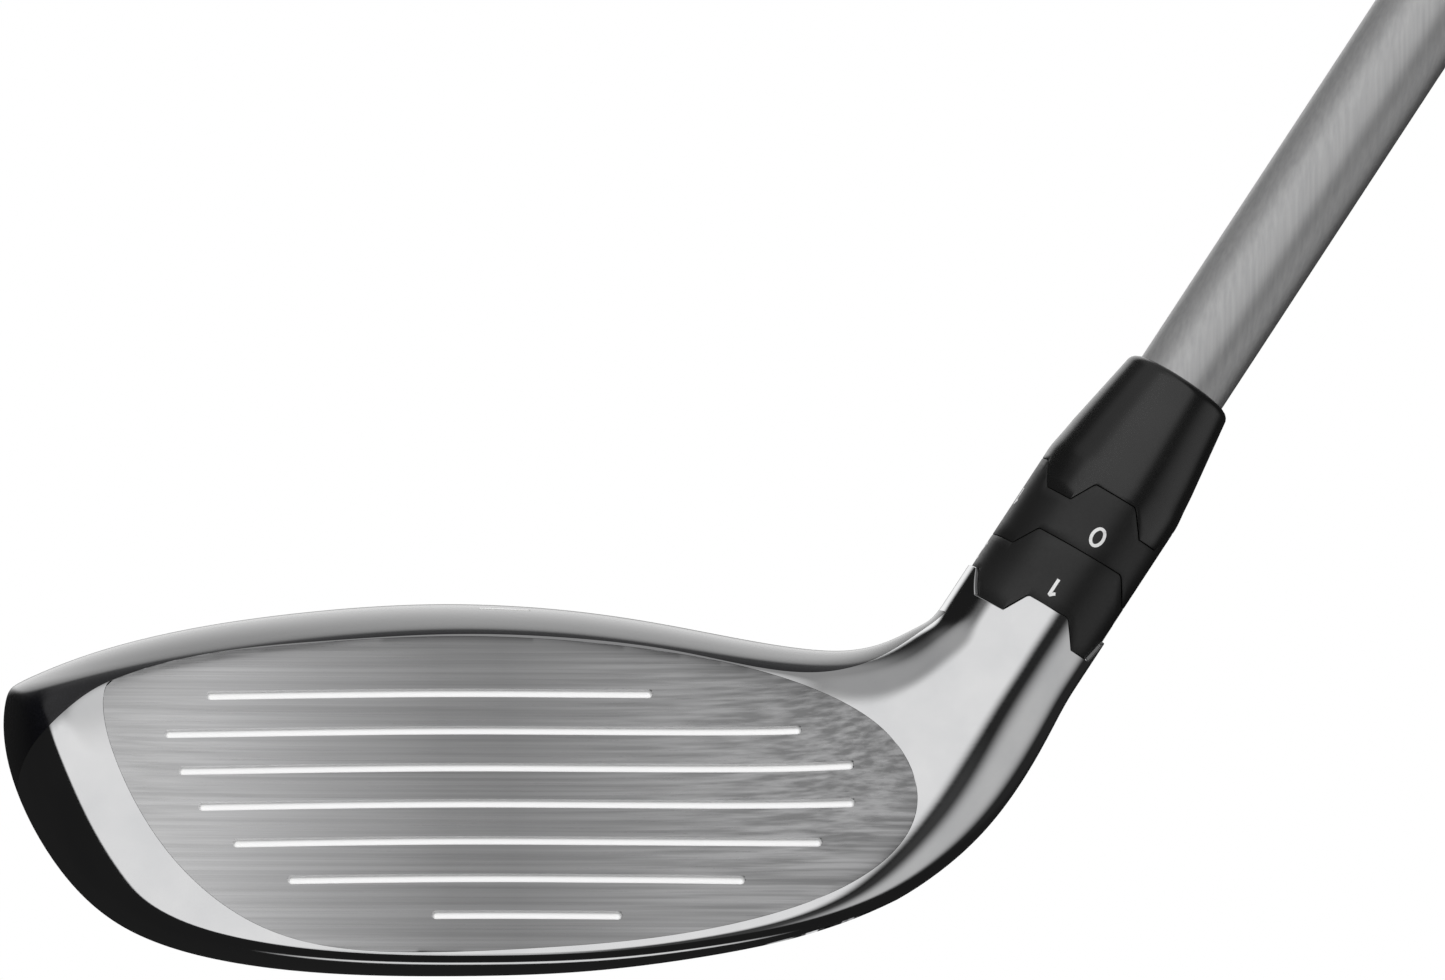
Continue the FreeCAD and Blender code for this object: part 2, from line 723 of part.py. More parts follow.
def main():
    os.makedirs("parts", exist_ok=True)
    cavity = head_cavity()
    nodes = {
        "head_shell": make_head_shell(cavity),
        "face_plate": make_face_plate(),
        "crown_cap": make_crown_cap(),
        "sole_badge": make_sole_badge(),
        "toe_weight": make_toe_weight(cavity),
        "damping_pad": make_damping_pad(cavity),
        "rear_weight": make_rear_weight(),
        "weight_washer": make_weight_washer(),
    }
    on_axis = {
        "retaining_screw": make_retaining_screw(),
        "screw_washer": make_screw_washer(),
        "adapter_sleeve": make_adapter_sleeve(),
        "thread_insert": make_thread_insert(),
        "ferrule": make_ferrule(),
        "upper_cog": make_upper_cog(),
        "lower_cog": make_lower_cog(),
        "cog_retaining_ring": make_retaining_ring(),
        "shaft": make_shaft(),
        "tip_plug": make_tip_plug(),
        "tip_weight": make_tip_weight(),
        "grip_tape": make_grip_tape(),
        "grip": make_grip(),
        "grip_cap": make_grip_cap(),
    }
    for name, shape in on_axis.items():
        nodes[name] = along_axis(shape)
    for name, shape in nodes.items():
        shape.exportStep("parts/" + name + ".step")
        print(name, "solids", len(shape.Solids), "valid", shape.isValid(), "volume", round(shape.Volume, 1))


main()
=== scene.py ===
import bpy
import math
import numpy as np
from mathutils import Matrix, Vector


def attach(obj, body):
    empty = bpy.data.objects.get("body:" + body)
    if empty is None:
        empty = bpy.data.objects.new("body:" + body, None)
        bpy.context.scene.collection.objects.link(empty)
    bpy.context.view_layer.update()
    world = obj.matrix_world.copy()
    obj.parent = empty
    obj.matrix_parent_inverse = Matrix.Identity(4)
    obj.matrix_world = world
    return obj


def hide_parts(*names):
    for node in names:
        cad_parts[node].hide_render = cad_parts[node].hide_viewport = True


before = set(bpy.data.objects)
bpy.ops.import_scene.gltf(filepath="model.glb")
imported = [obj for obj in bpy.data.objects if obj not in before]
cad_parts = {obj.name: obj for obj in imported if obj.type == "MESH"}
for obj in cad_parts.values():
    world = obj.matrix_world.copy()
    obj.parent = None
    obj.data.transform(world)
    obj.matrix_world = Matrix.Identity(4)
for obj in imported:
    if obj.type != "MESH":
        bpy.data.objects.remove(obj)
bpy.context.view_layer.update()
print("frame loaded")

# sizes in millimetres, the same as the model's
club = dict(lie=56.5, loft=20.0, groundX=27.0, length=1003.0, apex=37.7, rimDrop=2.8, crownRise=4.0,
            noseHeight=1.2, neckRadius=7.7, capEnd=5.0)
lie = math.radians(club["lie"])
loft = math.radians(club["loft"])
shaftDir = np.array([math.cos(lie), 0.0, math.sin(lie)])
heelDir = np.array([math.sin(lie), 0.0, -math.cos(lie)])    # square to the shaft, towards the heel and down
frontDir = np.array([0.0, -1.0, 0.0])
faceNormal = np.array([0.0, -math.cos(loft), math.sin(loft)])
faceUp = np.array([0.0, math.sin(loft), math.cos(loft)])
groundPoint = np.array([club["groundX"], 0.0, 0.0])
rimAt = (club["apex"] - club["rimDrop"]) / math.sin(lie)


# point at a radius, an angle from the front towards the heel, and a distance along the shaft axis
def aboutShaft(radius, angle, along):
    radius, angle, along = np.broadcast_arrays(radius, angle, along)
    side = radius * np.sin(angle)
    front = radius * np.cos(angle)
    return groundPoint + along[..., None] * shaftDir + side[..., None] * heelDir + front[..., None] * frontDir


# two triangles for each cell of a grid of rows and columns; the columns close on themselves when wrapped
def gridTriangles(rows, cols, wrapped=True, first=0):
    across = cols if wrapped else cols - 1
    r, c = np.meshgrid(np.arange(rows - 1), np.arange(across), indexing="ij")
    a = first + r * cols + c
    b = first + r * cols + (c + 1) % cols
    corners = np.stack([a, b, b + cols, a + cols], -1).reshape(-1, 4)
    return np.vstack([corners[:, [0, 1, 2]], corners[:, [0, 2, 3]]])


# triangles of a closed solid, turned over if the volume they hold comes out negative
def facingOut(points, triangles):
    corner = points[triangles] - points.mean(0)
    volume = (corner[:, 0] * np.cross(corner[:, 1], corner[:, 2])).sum()
    return triangles[:, ::-1] if volume < 0 else triangles


# corners closer than a ten-thousandth of a millimetre become one, and triangles left with no area go
def welded(points, triangles):
    keys = np.round(points[:, :3] * 1e4).astype(np.int64)
    _, first, same = np.unique(keys, axis=0, return_index=True, return_inverse=True)
    triangles = same.reshape(-1)[triangles]
    a, b, c = triangles.T
    good = (a != b) & (b != c) & (a != c)
    return points[first], triangles[good], good


# makes the mesh from arrays; extra columns of points become a named value at each corner
def makePiece(name, points, triangles, body, material, replaces=(), slot=None, normals=None, sharp=40.0,
              value=None):
    points, triangles, good = welded(points, triangles)
    used, triangles = np.unique(triangles, return_inverse=True)
    triangles = triangles.reshape(-1, 3)
    points = points[used]
    mesh = bpy.data.meshes.new(name)
    mesh.vertices.add(len(points))
    mesh.vertices.foreach_set("co", (points[:, :3] * 0.001).astype(np.float32).ravel())
    mesh.loops.add(triangles.size)
    mesh.loops.foreach_set("vertex_index", triangles.astype(np.int32).ravel())
    mesh.polygons.add(len(triangles))
    mesh.polygons.foreach_set("loop_start", np.arange(0, triangles.size, 3, dtype=np.int32))
    mesh.update(calc_edges=True)
    if value:
        layer = mesh.attributes.new(value, "FLOAT", "POINT")
        layer.data.foreach_set("value", points[:, 3].astype(np.float32))
    mesh.polygons.foreach_set("use_smooth", np.ones(len(triangles), bool))
    if normals is not None:
        mesh.normals_split_custom_set(normals[good].reshape(-1, 3).tolist())
    else:
        mesh.set_sharp_from_angle(angle=math.radians(sharp))
    piece = bpy.data.objects.new(name, mesh)
    bpy.context.scene.collection.objects.link(piece)
    mesh.materials.append(material)
    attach(piece, body)
    if replaces:
        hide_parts(*replaces)
    print(name, len(triangles), "triangles")


# a material with its shader's sockets set straight from the names given
def freshMaterial(name, **sockets):
    material = bpy.data.materials.new(name)
    material.use_nodes = True
    shader = material.node_tree.nodes["Principled BSDF"]
    for key, setting in sockets.items():
        shader.inputs[key.replace("_", " ")].default_value = setting
    return material, material.node_tree, shader


# noise on the piece's own coordinates, stretched by three scales per metre and turned if asked
def stretchedNoise(tree, scale, detail=4.0, turn=(0, 0, 0), roughness=0.5):
    place = tree.nodes.new("ShaderNodeTexCoord")
    mapping = tree.nodes.new("ShaderNodeMapping")
    mapping.inputs["Rotation"].default_value = turn
    mapping.inputs["Scale"].default_value = scale
    noise = tree.nodes.new("ShaderNodeTexNoise")
    noise.inputs["Scale"].default_value = 1.0
    noise.inputs["Detail"].default_value = detail
    noise.inputs["Roughness"].default_value = roughness
    tree.links.new(place.outputs["Object"], mapping.inputs["Vector"])
    tree.links.new(mapping.outputs["Vector"], noise.inputs["Vector"])
    return noise.outputs["Fac"]


# value from low to high as the source goes from start to end
def ramped(tree, source, low, high, start=0.3, end=0.7):
    node = tree.nodes.new("ShaderNodeMapRange")
    node.inputs["From Min"].default_value = start
    node.inputs["From Max"].default_value = end
    node.inputs["To Min"].default_value = low
    node.inputs["To Max"].default_value = high
    tree.links.new(source, node.inputs["Value"])
    return node.outputs["Result"]


# colour from dark to light as the source goes from start to end
def blended(tree, source, dark, light, start=0.3, end=0.7):
    node = tree.nodes.new("ShaderNodeValToRGB")
    node.color_ramp.elements[0].position = start
    node.color_ramp.elements[0].color = (*dark, 1)
    node.color_ramp.elements[1].position = end
    node.color_ramp.elements[1].color = (*light, 1)
    tree.links.new(source, node.inputs["Fac"])
    return node.outputs["Color"]


# raises the surface's light and shade by the source
def embossed(tree, shader, source, strength):
    node = tree.nodes.new("ShaderNodeBump")
    node.inputs["Strength"].default_value = strength
    node.inputs["Distance"].default_value = 0.0001      # a tenth of a millimetre
    tree.links.new(source, node.inputs["Height"])
    tree.links.new(node.outputs["Normal"], shader.inputs["Normal"])


# mirror-bright steel: faint polishing swirl and slightly uneven gloss
def polishedSteel():
    material, tree, shader = freshMaterial("polishedSteel", Metallic=1.0)
    swirl = stretchedNoise(tree, (180, 180, 180), 5)
    fine = stretchedNoise(tree, (900, 5200, 5200), 3)
    tint = blended(tree, swirl, (0.80, 0.805, 0.815), (0.88, 0.88, 0.885))
    tree.links.new(tint, shader.inputs["Base Color"])
    tree.links.new(ramped(tree, fine, 0.045, 0.10), shader.inputs["Roughness"])
    embossed(tree, shader, fine, 0.012)
    return material


# face steel: brushed from toe to heel, with dark streaks towards the heel; its colour is a painted
# reflection, lighter at the toe and darkest near the middle, and the grooves are coloured near-white as a
# painted reflection of the white studio in their floors
def brushedFacePaintedReflection():
    material, tree, shader = freshMaterial("brushedFacePaintedReflection")
    fine = stretchedNoise(tree, (25, 5200, 5200), 4, roughness=0.6)
    broad = stretchedNoise(tree, (14, 2100, 2100), 3, roughness=0.5)
    place = tree.nodes.new("ShaderNodeTexCoord")
    split = tree.nodes.new("ShaderNodeSeparateXYZ")
    tree.links.new(place.outputs["Object"], split.inputs["Vector"])
    # painted reflection: the steel's colour runs from light at the toe to darkest near the middle and a
    # little lighter at the heel, standing in for the studio's light on the face
    shade = tree.nodes.new("ShaderNodeValToRGB")
    ramp = shade.color_ramp
    ramp.elements[0].position, ramp.elements[0].color = 0.08, (0.70, 0.70, 0.705, 1)
    ramp.elements[1].position, ramp.elements[1].color = 0.95, (0.41, 0.41, 0.415, 1)
    for at, bright in ((0.14, 0.66), (0.28, 0.48), (0.42, 0.345), (0.50, 0.325), (0.71, 0.43)):
        ramp.elements.new(at).color = (bright, bright, bright * 1.01, 1)
    tree.links.new(ramped(tree, split.outputs["X"], 0.0, 1.0, -0.042, 0.039), shade.inputs["Fac"])
    heel = ramped(tree, split.outputs["X"], 0.35, 1.0, 0.002, 0.030)

    # second colour laid over the first by the factor
    def over(first, second, factor, kind):
        mix = tree.nodes.new("ShaderNodeMix")
        mix.data_type = "RGBA"
        mix.blend_type = kind
        if isinstance(factor, float):
            mix.inputs["Factor"].default_value = factor
        else:
            tree.links.new(factor, mix.inputs["Factor"])
        tree.links.new(first, mix.inputs["A"])
        if isinstance(second, tuple):
            mix.inputs["B"].default_value = second
        else:
            tree.links.new(second, mix.inputs["B"])
        return mix.outputs["Result"]

    hairlines = blended(tree, fine, (0.80,) * 3, (1.12,) * 3, 0.25, 0.75)
    streaks = blended(tree, broad, (0.66,) * 3, (1.22,) * 3, 0.36, 0.64)
    grained = over(shade.outputs["Color"], hairlines, 0.8, "MULTIPLY")
    streaked = over(grained, streaks, heel, "MULTIPLY")
    groove = tree.nodes.new("ShaderNodeAttribute")
    groove.attribute_name = "groove"
    # painted reflection: the grooves are coloured near-white and not metallic, standing in for the white
    # studio mirrored in their concave floors
    paintedGrooveReflection = over(streaked, (0.95, 0.95, 0.95, 1), groove.outputs["Fac"], "MIX")
    tree.links.new(paintedGrooveReflection, shader.inputs["Base Color"])
    tree.links.new(ramped(tree, groove.outputs["Fac"], 1.0, 0.0, 0.0, 1.0), shader.inputs["Metallic"])
    tree.links.new(ramped(tree, fine, 0.24, 0.40), shader.inputs["Roughness"])
    embossed(tree, shader, fine, 0.08)
    return material


# deep black lacquer: a fine flake under a clear coat with a trace of orange peel
def crownLacquer():
    material, tree, shader = freshMaterial("crownLacquer", Roughness=0.30, Coat_Weight=1.0,
                                           Coat_Roughness=0.03)
    shader.inputs["Specular IOR Level"].default_value = 0.3
    flake = stretchedNoise(tree, (9000, 9000, 9000), 1)
    peel = stretchedNoise(tree, (700, 700, 700), 2)
    tree.links.new(blended(tree, flake, (0.0022, 0.0022, 0.0030), (0.012, 0.012, 0.016), 0.45, 0.8),
                   shader.inputs["Base Color"])
    embossed(tree, shader, peel, 0.02)
    return material


# hard-anodised or moulded black with a fine tooth
def satinBlack(name, shade, gloss, tooth, coat=0.0):
    material, tree, shader = freshMaterial(name, Coat_Weight=coat, Coat_Roughness=0.12)
    grain = stretchedNoise(tree, (4200, 4200, 4200), 3)
    cloud = stretchedNoise(tree, (120, 120, 120), 3)
    tree.links.new(blended(tree, cloud, (shade * 0.8,) * 3, (shade * 1.25,) * 3), shader.inputs["Base Color"])
    tree.links.new(ramped(tree, grain, gloss - 0.05, gloss + 0.06), shader.inputs["Roughness"])
    embossed(tree, shader, grain, tooth)
    return material


# silver-grey lacquer on a sanded shaft, with long faint streaks along its axis
def shaftLacquer():
    material, tree, shader = freshMaterial("shaftLacquer", Metallic=0.55)
    along = stretchedNoise(tree, (2600, 2600, 30), 4, turn=(0, -(math.pi / 2 - lie), 0))
    grain = stretchedNoise(tree, (5200, 5200, 5200), 2)
    tree.links.new(blended(tree, along, (0.44, 0.44, 0.445), (0.52, 0.52, 0.52)), shader.inputs["Base Color"])
    tree.links.new(ramped(tree, grain, 0.34, 0.42), shader.inputs["Roughness"])
    embossed(tree, shader, grain, 0.03)
    return material


# turned metal: fine rings from the tool, seen as bands of gloss
def machinedMetal(name, shade, gloss, scale=(2400, 2400, 2400)):
    material, tree, shader = freshMaterial(name, Metallic=1.0)
    ring = stretchedNoise(tree, scale, 5, roughness=0.7)
    tint = blended(tree, ring, (shade * 0.85,) * 3, (min(1.0, shade * 1.1),) * 3)
    tree.links.new(tint, shader.inputs["Base Color"])
    tree.links.new(ramped(tree, ring, gloss, gloss + 0.14), shader.inputs["Roughness"])
    embossed(tree, shader, ring, 0.06)
    return material


# moulded rubber, nylon, tape or resin: mottled colour and a matt, slightly rough skin
def softMould(name, dark, light, gloss, tooth, scale=2500):
    material, tree, shader = freshMaterial(name)
    grain = stretchedNoise(tree, (scale,) * 3, 4)
    cloud = stretchedNoise(tree, (90, 90, 90), 3)
    tree.links.new(blended(tree, cloud, dark, light), shader.inputs["Base Color"])
    tree.links.new(ramped(tree, grain, gloss - 0.08, gloss + 0.08), shader.inputs["Roughness"])
    embossed(tree, shader, grain, tooth)
    return material


# white fill of the marks, slightly worn
def markPaint():
    material, tree, shader = freshMaterial("markPaint")
    worn = stretchedNoise(tree, (3000, 3000, 3000), 3)
    tint = blended(tree, worn, (0.72, 0.72, 0.72), (0.92, 0.92, 0.92), 0.2, 0.5)
    tree.links.new(tint, shader.inputs["Base Color"])
    tree.links.new(ramped(tree, worn, 0.5, 0.35), shader.inputs["Roughness"])
    return material


steel = polishedSteel()
faceSteelPaintedReflection = brushedFacePaintedReflection()
lacquer = crownLacquer()
cogBlack = satinBlack("cogBlack", 0.012, 0.36, 0.03)
ferruleBlack = satinBlack("ferruleBlack", 0.010, 0.24, 0.015, coat=0.3)
greyShaft = shaftLacquer()
sleeveMetal = machinedMetal("sleeveMetal", 0.72, 0.16, (300, 300, 5200))
screwMetal = machinedMetal("screwMetal", 0.50, 0.22)
weightMetal = machinedMetal("weightMetal", 0.62, 0.16, (1200, 1200, 1200))
badgeMetal = machinedMetal("badgeMetal", 0.11, 0.30, (40, 3200, 3200))
tungsten = machinedMetal("tungsten", 0.30, 0.42)
gripRubber = softMould("gripRubber", (0.010, 0.010, 0.010), (0.020, 0.020, 0.020), 0.62, 0.25)
nylon = softMould("nylon", (0.05, 0.05, 0.05), (0.09, 0.09, 0.09), 0.5, 0.05)
ringRubber = softMould("ringRubber", (0.02, 0.02, 0.02), (0.04, 0.04, 0.04), 0.55, 0.08)
urethane = softMould("urethane", (0.42, 0.30, 0.12), (0.58, 0.45, 0.22), 0.35, 0.04)
tape = softMould("tape", (0.66, 0.63, 0.52), (0.80, 0.77, 0.68), 0.8, 0.3, 1200)
plugResin = softMould("plugResin", (0.68, 0.64, 0.52), (0.80, 0.77, 0.68), 0.45, 0.05)
white = markPaint()
print("materials made")


# stations from toe to neck: top x, z; sole x, z; front y, rear y; trailing edge's height share; roundness
headStations = [
    (-49.0, 28.0, -49.0, 22.6, 6.0, 16.0, 0.50, 1.00),
    (-48.7, 28.7, -48.0, 17.9, 0.0, 21.0, 0.50, 0.80),
    (-46.2, 30.1, -44.2, 10.4, -5.6, 28.0, 0.46, 0.35),
    (-40.0, 32.6, -38.5, 4.4, -8.0, 36.0, 0.44, 0.08),
    (-30.0, 35.1, -29.0, 1.5, -9.0, 43.0, 0.43, 0.00),
    (-18.0, 36.8, -17.5, 0.3, -9.4, 47.5, 0.42, 0.00),
    (-6.0, 37.7, -6.0, 0.2, -9.6, 49.0, 0.42, 0.00),
    (6.0, 37.2, 6.5, 0.5, -9.5, 48.0, 0.42, 0.00),
    (15.5, 35.8, 17.0, 1.8, -9.3, 44.5, 0.43, 0.02),
    (23.0, 34.2, 26.0, 3.4, -9.1, 39.0, 0.45, 0.08),
    (29.0, 33.1, 34.5, 5.8, -8.9, 31.0, 0.47, 0.25),
    (33.5, 32.6, 41.5, 9.9, -8.7, 22.5, 0.50, 0.55),
    (36.8, 33.1, 46.9, 14.7, -8.4, 14.5, 0.50, 0.85),
    (39.4, 34.4, 51.1, 20.9, -8.0, 10.0, 0.50, 1.00),
]
neckRings = (-4.7, -2.4, 0.1, 4.1)
toeTip = (-49.0, 11.0, 25.8)
poleCount = 20


# one station's ring of poles: five up the lofted face, two near its top edge, then crown, tail and sole,
# each blended with an ellipse by the roundness
def stationPoles(topX, topZ, soleX, soleZ, front, rear, tail, roundness):
    height = math.hypot(topX - soleX, topZ - soleZ)
    upX, upZ = (topX - soleX) / height, (topZ - soleZ) / height
    size = min(1.0, height / 34.0)
    rise, nose = club["crownRise"] * size, club["noseHeight"] * size
    edge = height - rise
    edgeY = min(front + (edge - nose) * math.tan(loft), front + 0.45 * (rear - front))
    face = math.hypot(edgeY - front, edge - nose)
    lean, climb = (edgeY - front) / face, (edge - nose) / face
    tailHeight = tail * height
    fall, depth, whole = height - tailHeight, rear - edgeY, rear - front
    up = np.array([0.0, 2.0 * size, 6.0 * size, 0.40 * face, 0.62 * face])
    down = np.array([5.0, 1.6]) * size
    crown = np.array([0.0, 0.05, 0.17, 0.38, 0.62, 0.84])
    y = np.concatenate([front + up * lean, edgeY - down * lean, edgeY + depth * crown,
                        [rear + 0.4 * size, rear + 0.2 * size],
                        front + whole * np.array([0.86, 0.66, 0.43, 0.20]), [front + 2.0 * size]])
    h = np.concatenate([nose + up * climb, edge - down * climb,
                        [edge + 0.15 * size, edge + 0.30 * rise, edge + 0.80 * rise, height + 0.25 * size,
                         height - 0.20 * fall, height - 0.50 * fall,
                         tailHeight + 0.13 * height, tailHeight - 0.10 * height,
                         0.42 * tailHeight, 0.13 * tailHeight, -0.05 * size, -0.15 * size, 0.20 * size]])
    angle = (np.arange(poleCount) - 3.5) * 2 * math.pi / poleCount
    shrink = (4 + 2 * math.cos(2 * math.pi / poleCount)) / 6
    roundY = (front + rear) / 2 - whole / 2 * np.cos(angle) / shrink
    roundH = height / 2 + height / 2 * np.sin(angle) / shrink
    y = (1 - roundness) * y + roundness * roundY
    h = (1 - roundness) * h + roundness * roundH
    return np.stack([soleX + upX * h, y, soleZ + upZ * h], -1)


# a circle of the hosel's radius, square to the shaft, as a ring of poles
def neckPoles(along):
    centre = groundPoint + shaftDir * along
    across = heelDir * club["neckRadius"]
    top, sole = centre - across, centre + across
    return stationPoles(top[0], top[2], sole[0], sole[2], -club["neckRadius"], club["neckRadius"], 0.5, 1.0)


headPoles = np.array([[toeTip] * poleCount] + [stationPoles(*s) for s in headStations]
                     + [neckPoles(rimAt + ring) for ring in neckRings])
headSpans = len(headPoles) - 3


# weights of a clamped cubic curve's poles at the places u, by the usual recurrence on its knots
def clampedWeights(u, poles):
    knots = np.concatenate([[0] * 3, np.arange(poles - 2), [poles - 3] * 3]).astype(float)
    u = np.clip(u, 0, poles - 3 - 1e-9)
    weights = ((u[:, None] >= knots[:-1]) & (u[:, None] < knots[1:])).astype(float)
    for degree in (1, 2, 3):
        low, high = knots[:-degree - 1], knots[degree:-1]
        span = np.where(high > low, high - low, 1)
        rising = np.where(high > low, (u[:, None] - low) / span, 0)
        low2, high2 = knots[1:-degree], knots[degree + 1:]
        span2 = np.where(high2 > low2, high2 - low2, 1)
        falling = np.where(high2 > low2, (high2 - u[:, None]) / span2, 0)
        weights = rising * weights[:, :-1] + falling * weights[:, 1:]
    return weights


# weights of the poles of a closed uniform cubic curve at the places v
def closedWeights(v, poles):
    start = np.floor(v).astype(int)
    f = v - start
    four = [(1 - f) ** 3 / 6, (3 * f ** 3 - 6 * f ** 2 + 4) / 6,
            (-3 * f ** 3 + 3 * f ** 2 + 3 * f + 1) / 6, f ** 3 / 6]
    weights = np.zeros((len(v), poles))
    for k, share in enumerate(four):
        weights[np.arange(len(v)), (start + k) % poles] += share
    return weights


# the head's skin at each u and v pair: the poles weighted both ways
def headAt(u, v):
    byU = clampedWeights(u, len(headPoles))
    byV = closedWeights(v % poleCount, poleCount)
    strips = (byU @ headPoles.reshape(len(headPoles), -1)).reshape(len(u), poleCount, 3)
    return np.einsum("nv,nvc->nc", byV, strips)


# outward normal from the two slopes of the skin; at the toe's pole it is taken a hair away from it
def headNormal(u, v):
    u = np.maximum(u, 0.02)
    step = 1e-3
    alongU = headAt(np.minimum(u + step, headSpans - 1e-6), v) - headAt(u - step, v)
    alongV = headAt(u, v + step) - headAt(u, v - step)
    normal = np.cross(alongU, alongV)
    return normal / np.maximum(np.linalg.norm(normal, axis=1, keepdims=True), 1e-12)


# distance of points inside a closed outline, negative outside: the nearest edge of a fine polygon,
# signed by how often a ray to the right crosses it
def insideOutline(points, outline):
    fine = closedWeights(np.linspace(0, len(outline), 360, endpoint=False), len(outline)) @ np.array(outline)
    after = np.roll(fine, -1, 0)
    edge = after - fine
    gap = points[:, None, :] - fine[None]
    share = np.clip((gap * edge).sum(-1) / (edge ** 2).sum(-1), 0, 1)
    away = np.linalg.norm(gap - share[..., None] * edge, axis=-1).min(1)
    above = (fine[None, :, 1] > points[:, None, 1]) != (after[None, :, 1] > points[:, None, 1])
    rise = np.where(edge[:, 1] == 0, 1e-9, edge[:, 1])
    crossing = fine[:, 0] + (points[:, None, 1] - fine[:, 1]) / rise * edge[:, 0]
    inside = (above & (points[:, None, 0] < crossing)).sum(1) % 2 == 1
    return np.where(inside, away, -away)


# natural cubic through the points, evaluated at x
def smoothLine(x, points):
    px, pz = np.array(points).T
    gap = np.diff(px)
    n = len(px)
    system = np.eye(n)
    right = np.zeros(n)
    inner = np.arange(1, n - 1)
    system[inner, inner - 1] = gap[:-1]
    system[inner, inner] = 2 * (gap[:-1] + gap[1:])
    system[inner, inner + 1] = gap[1:]
    right[1:-1] = 6 * (np.diff(pz[1:]) / gap[1:] - np.diff(pz[:-1]) / gap[:-1])
    bend = np.linalg.solve(system, right)
    k = np.clip(np.searchsorted(px, x) - 1, 0, n - 2)
    a, b = px[k + 1] - x, x - px[k]
    curved = (bend[k] * a ** 3 + bend[k + 1] * b ** 3) / (6 * gap[k])
    left = (pz[k] / gap[k] - bend[k] * gap[k] / 6) * a
    return curved + left + (pz[k + 1] / gap[k] - bend[k + 1] * gap[k] / 6) * b


# keeps the part of the triangles where values are above zero; rows are shared out evenly along each cut edge
def keptWhere(rows, triangles, values):
    inside = values > 0
    count = inside[triangles].sum(1)
    cut = triangles[(count == 1) | (count == 2)]
    single = inside[cut].sum(1) == 1
    lone = np.where(single[:, None], inside[cut], ~inside[cut]).argmax(1)
    pick = np.arange(len(cut))
    a, b, c = cut[pick, lone], cut[pick, (lone + 1) % 3], cut[pick, (lone + 2) % 3]
    edges = np.sort(np.concatenate([np.stack([a, b], 1), np.stack([a, c], 1)]), 1)
    edges, where = np.unique(edges, axis=0, return_inverse=True)
    where = where.reshape(-1) + len(rows)
    one, two = edges.T
    share = (values[one] / (values[one] - values[two]))[:, None]
    rows = np.vstack([rows, rows[one] * (1 - share) + rows[two] * share])
    ab, ac = where[:len(a)], where[len(a):]
    kept = [triangles[count == 3], np.stack([a, ab, ac], 1)[single], np.stack([ab, b, c], 1)[~single],
            np.stack([ab, c, ac], 1)[~single]]
    return rows, np.vstack(kept)


# directed edges that belong to one triangle only
def openEdges(triangles):
    edges = np.concatenate([triangles[:, [0, 1]], triangles[:, [1, 2]], triangles[:, [2, 0]]])
    keys = edges.min(1).astype(np.int64) * 10 ** 8 + edges.max(1)
    _, first, count = np.unique(keys, return_index=True, return_counts=True)
    return edges[first[count == 1]]


# gathers patches of a piece with a normal for each corner, and makes one piece of them
class Patches:
    def __init__(self):
        self.points, self.triangles, self.normals, self.count = [], [], [], 0

    def add(self, points, triangles, normals=None):
        if normals is None:
            corner = points[triangles]
            flat = np.cross(corner[:, 1] - corner[:, 0], corner[:, 2] - corner[:, 0])
            flat = flat / np.maximum(np.linalg.norm(flat, axis=1, keepdims=True), 1e-12)
            cornerNormals = np.repeat(flat[:, None], 3, 1)
        else:
            cornerNormals = normals[triangles]
        self.points.append(points[:, :3])
        self.triangles.append(triangles + self.count)
        self.normals.append(cornerNormals)
        self.count += len(points)

    # wall from the open edges that pass the test down to the moved points, facing away from the patch
    def addWall(self, points, moved, triangles, test=None):
        edges = openEdges(triangles)
        if test is not None:
            edges = edges[test[edges].all(1)]
        a, b = edges.T
        n = len(a)
        corners = np.vstack([points[b], points[a], moved[a], moved[b]])
        k = np.arange(n)
        first, second = np.stack([k, k + n, k + 2 * n], 1), np.stack([k, k + 2 * n, k + 3 * n], 1)
        self.add(corners, np.vstack([first, second]))

    def piece(self, name, body, material, **more):
        makePiece(name, np.vstack(self.points), np.vstack(self.triangles), body, material,
                  normals=np.vstack(self.normals), **more)


headGrid = dict(perSpanU=14, perSpanV=20)
gridU = np.linspace(0, headSpans - 1, (headSpans - 1) * headGrid["perSpanU"] + 1)
gridV = np.linspace(0, poleCount, poleCount * headGrid["perSpanV"], endpoint=False)
allU, allV = [g.ravel() for g in np.meshgrid(gridU, gridV, indexing="ij")]
skinPoints = headAt(allU, allV)
skinNormals = headNormal(allU, allV)
skinTriangles = gridTriangles(len(gridU), len(gridV))
firstRow = len(gridV)
skinNormals[:firstRow] = skinNormals[firstRow:2 * firstRow].mean(0)
skinNormals[:firstRow] /= np.linalg.norm(skinNormals[0])
skinTriangles = np.where(skinTriangles < firstRow, 0, skinTriangles)        # the toe's pole is one corner
a, b, c = skinTriangles.T
skinTriangles = skinTriangles[(a != b) & (b != c) & (a != c)]
if np.einsum("nc,nc->n", skinNormals, skinPoints - skinPoints.mean(0)).mean() < 0:
    skinNormals = -skinNormals
corner = skinPoints[skinTriangles]
turned = np.cross(corner[:, 1] - corner[:, 0], corner[:, 2] - corner[:, 0])
if (turned * skinNormals[skinTriangles[:, 0]]).sum(1).mean() < 0:
    skinTriangles = skinTriangles[:, ::-1]
print("head skin worked out")

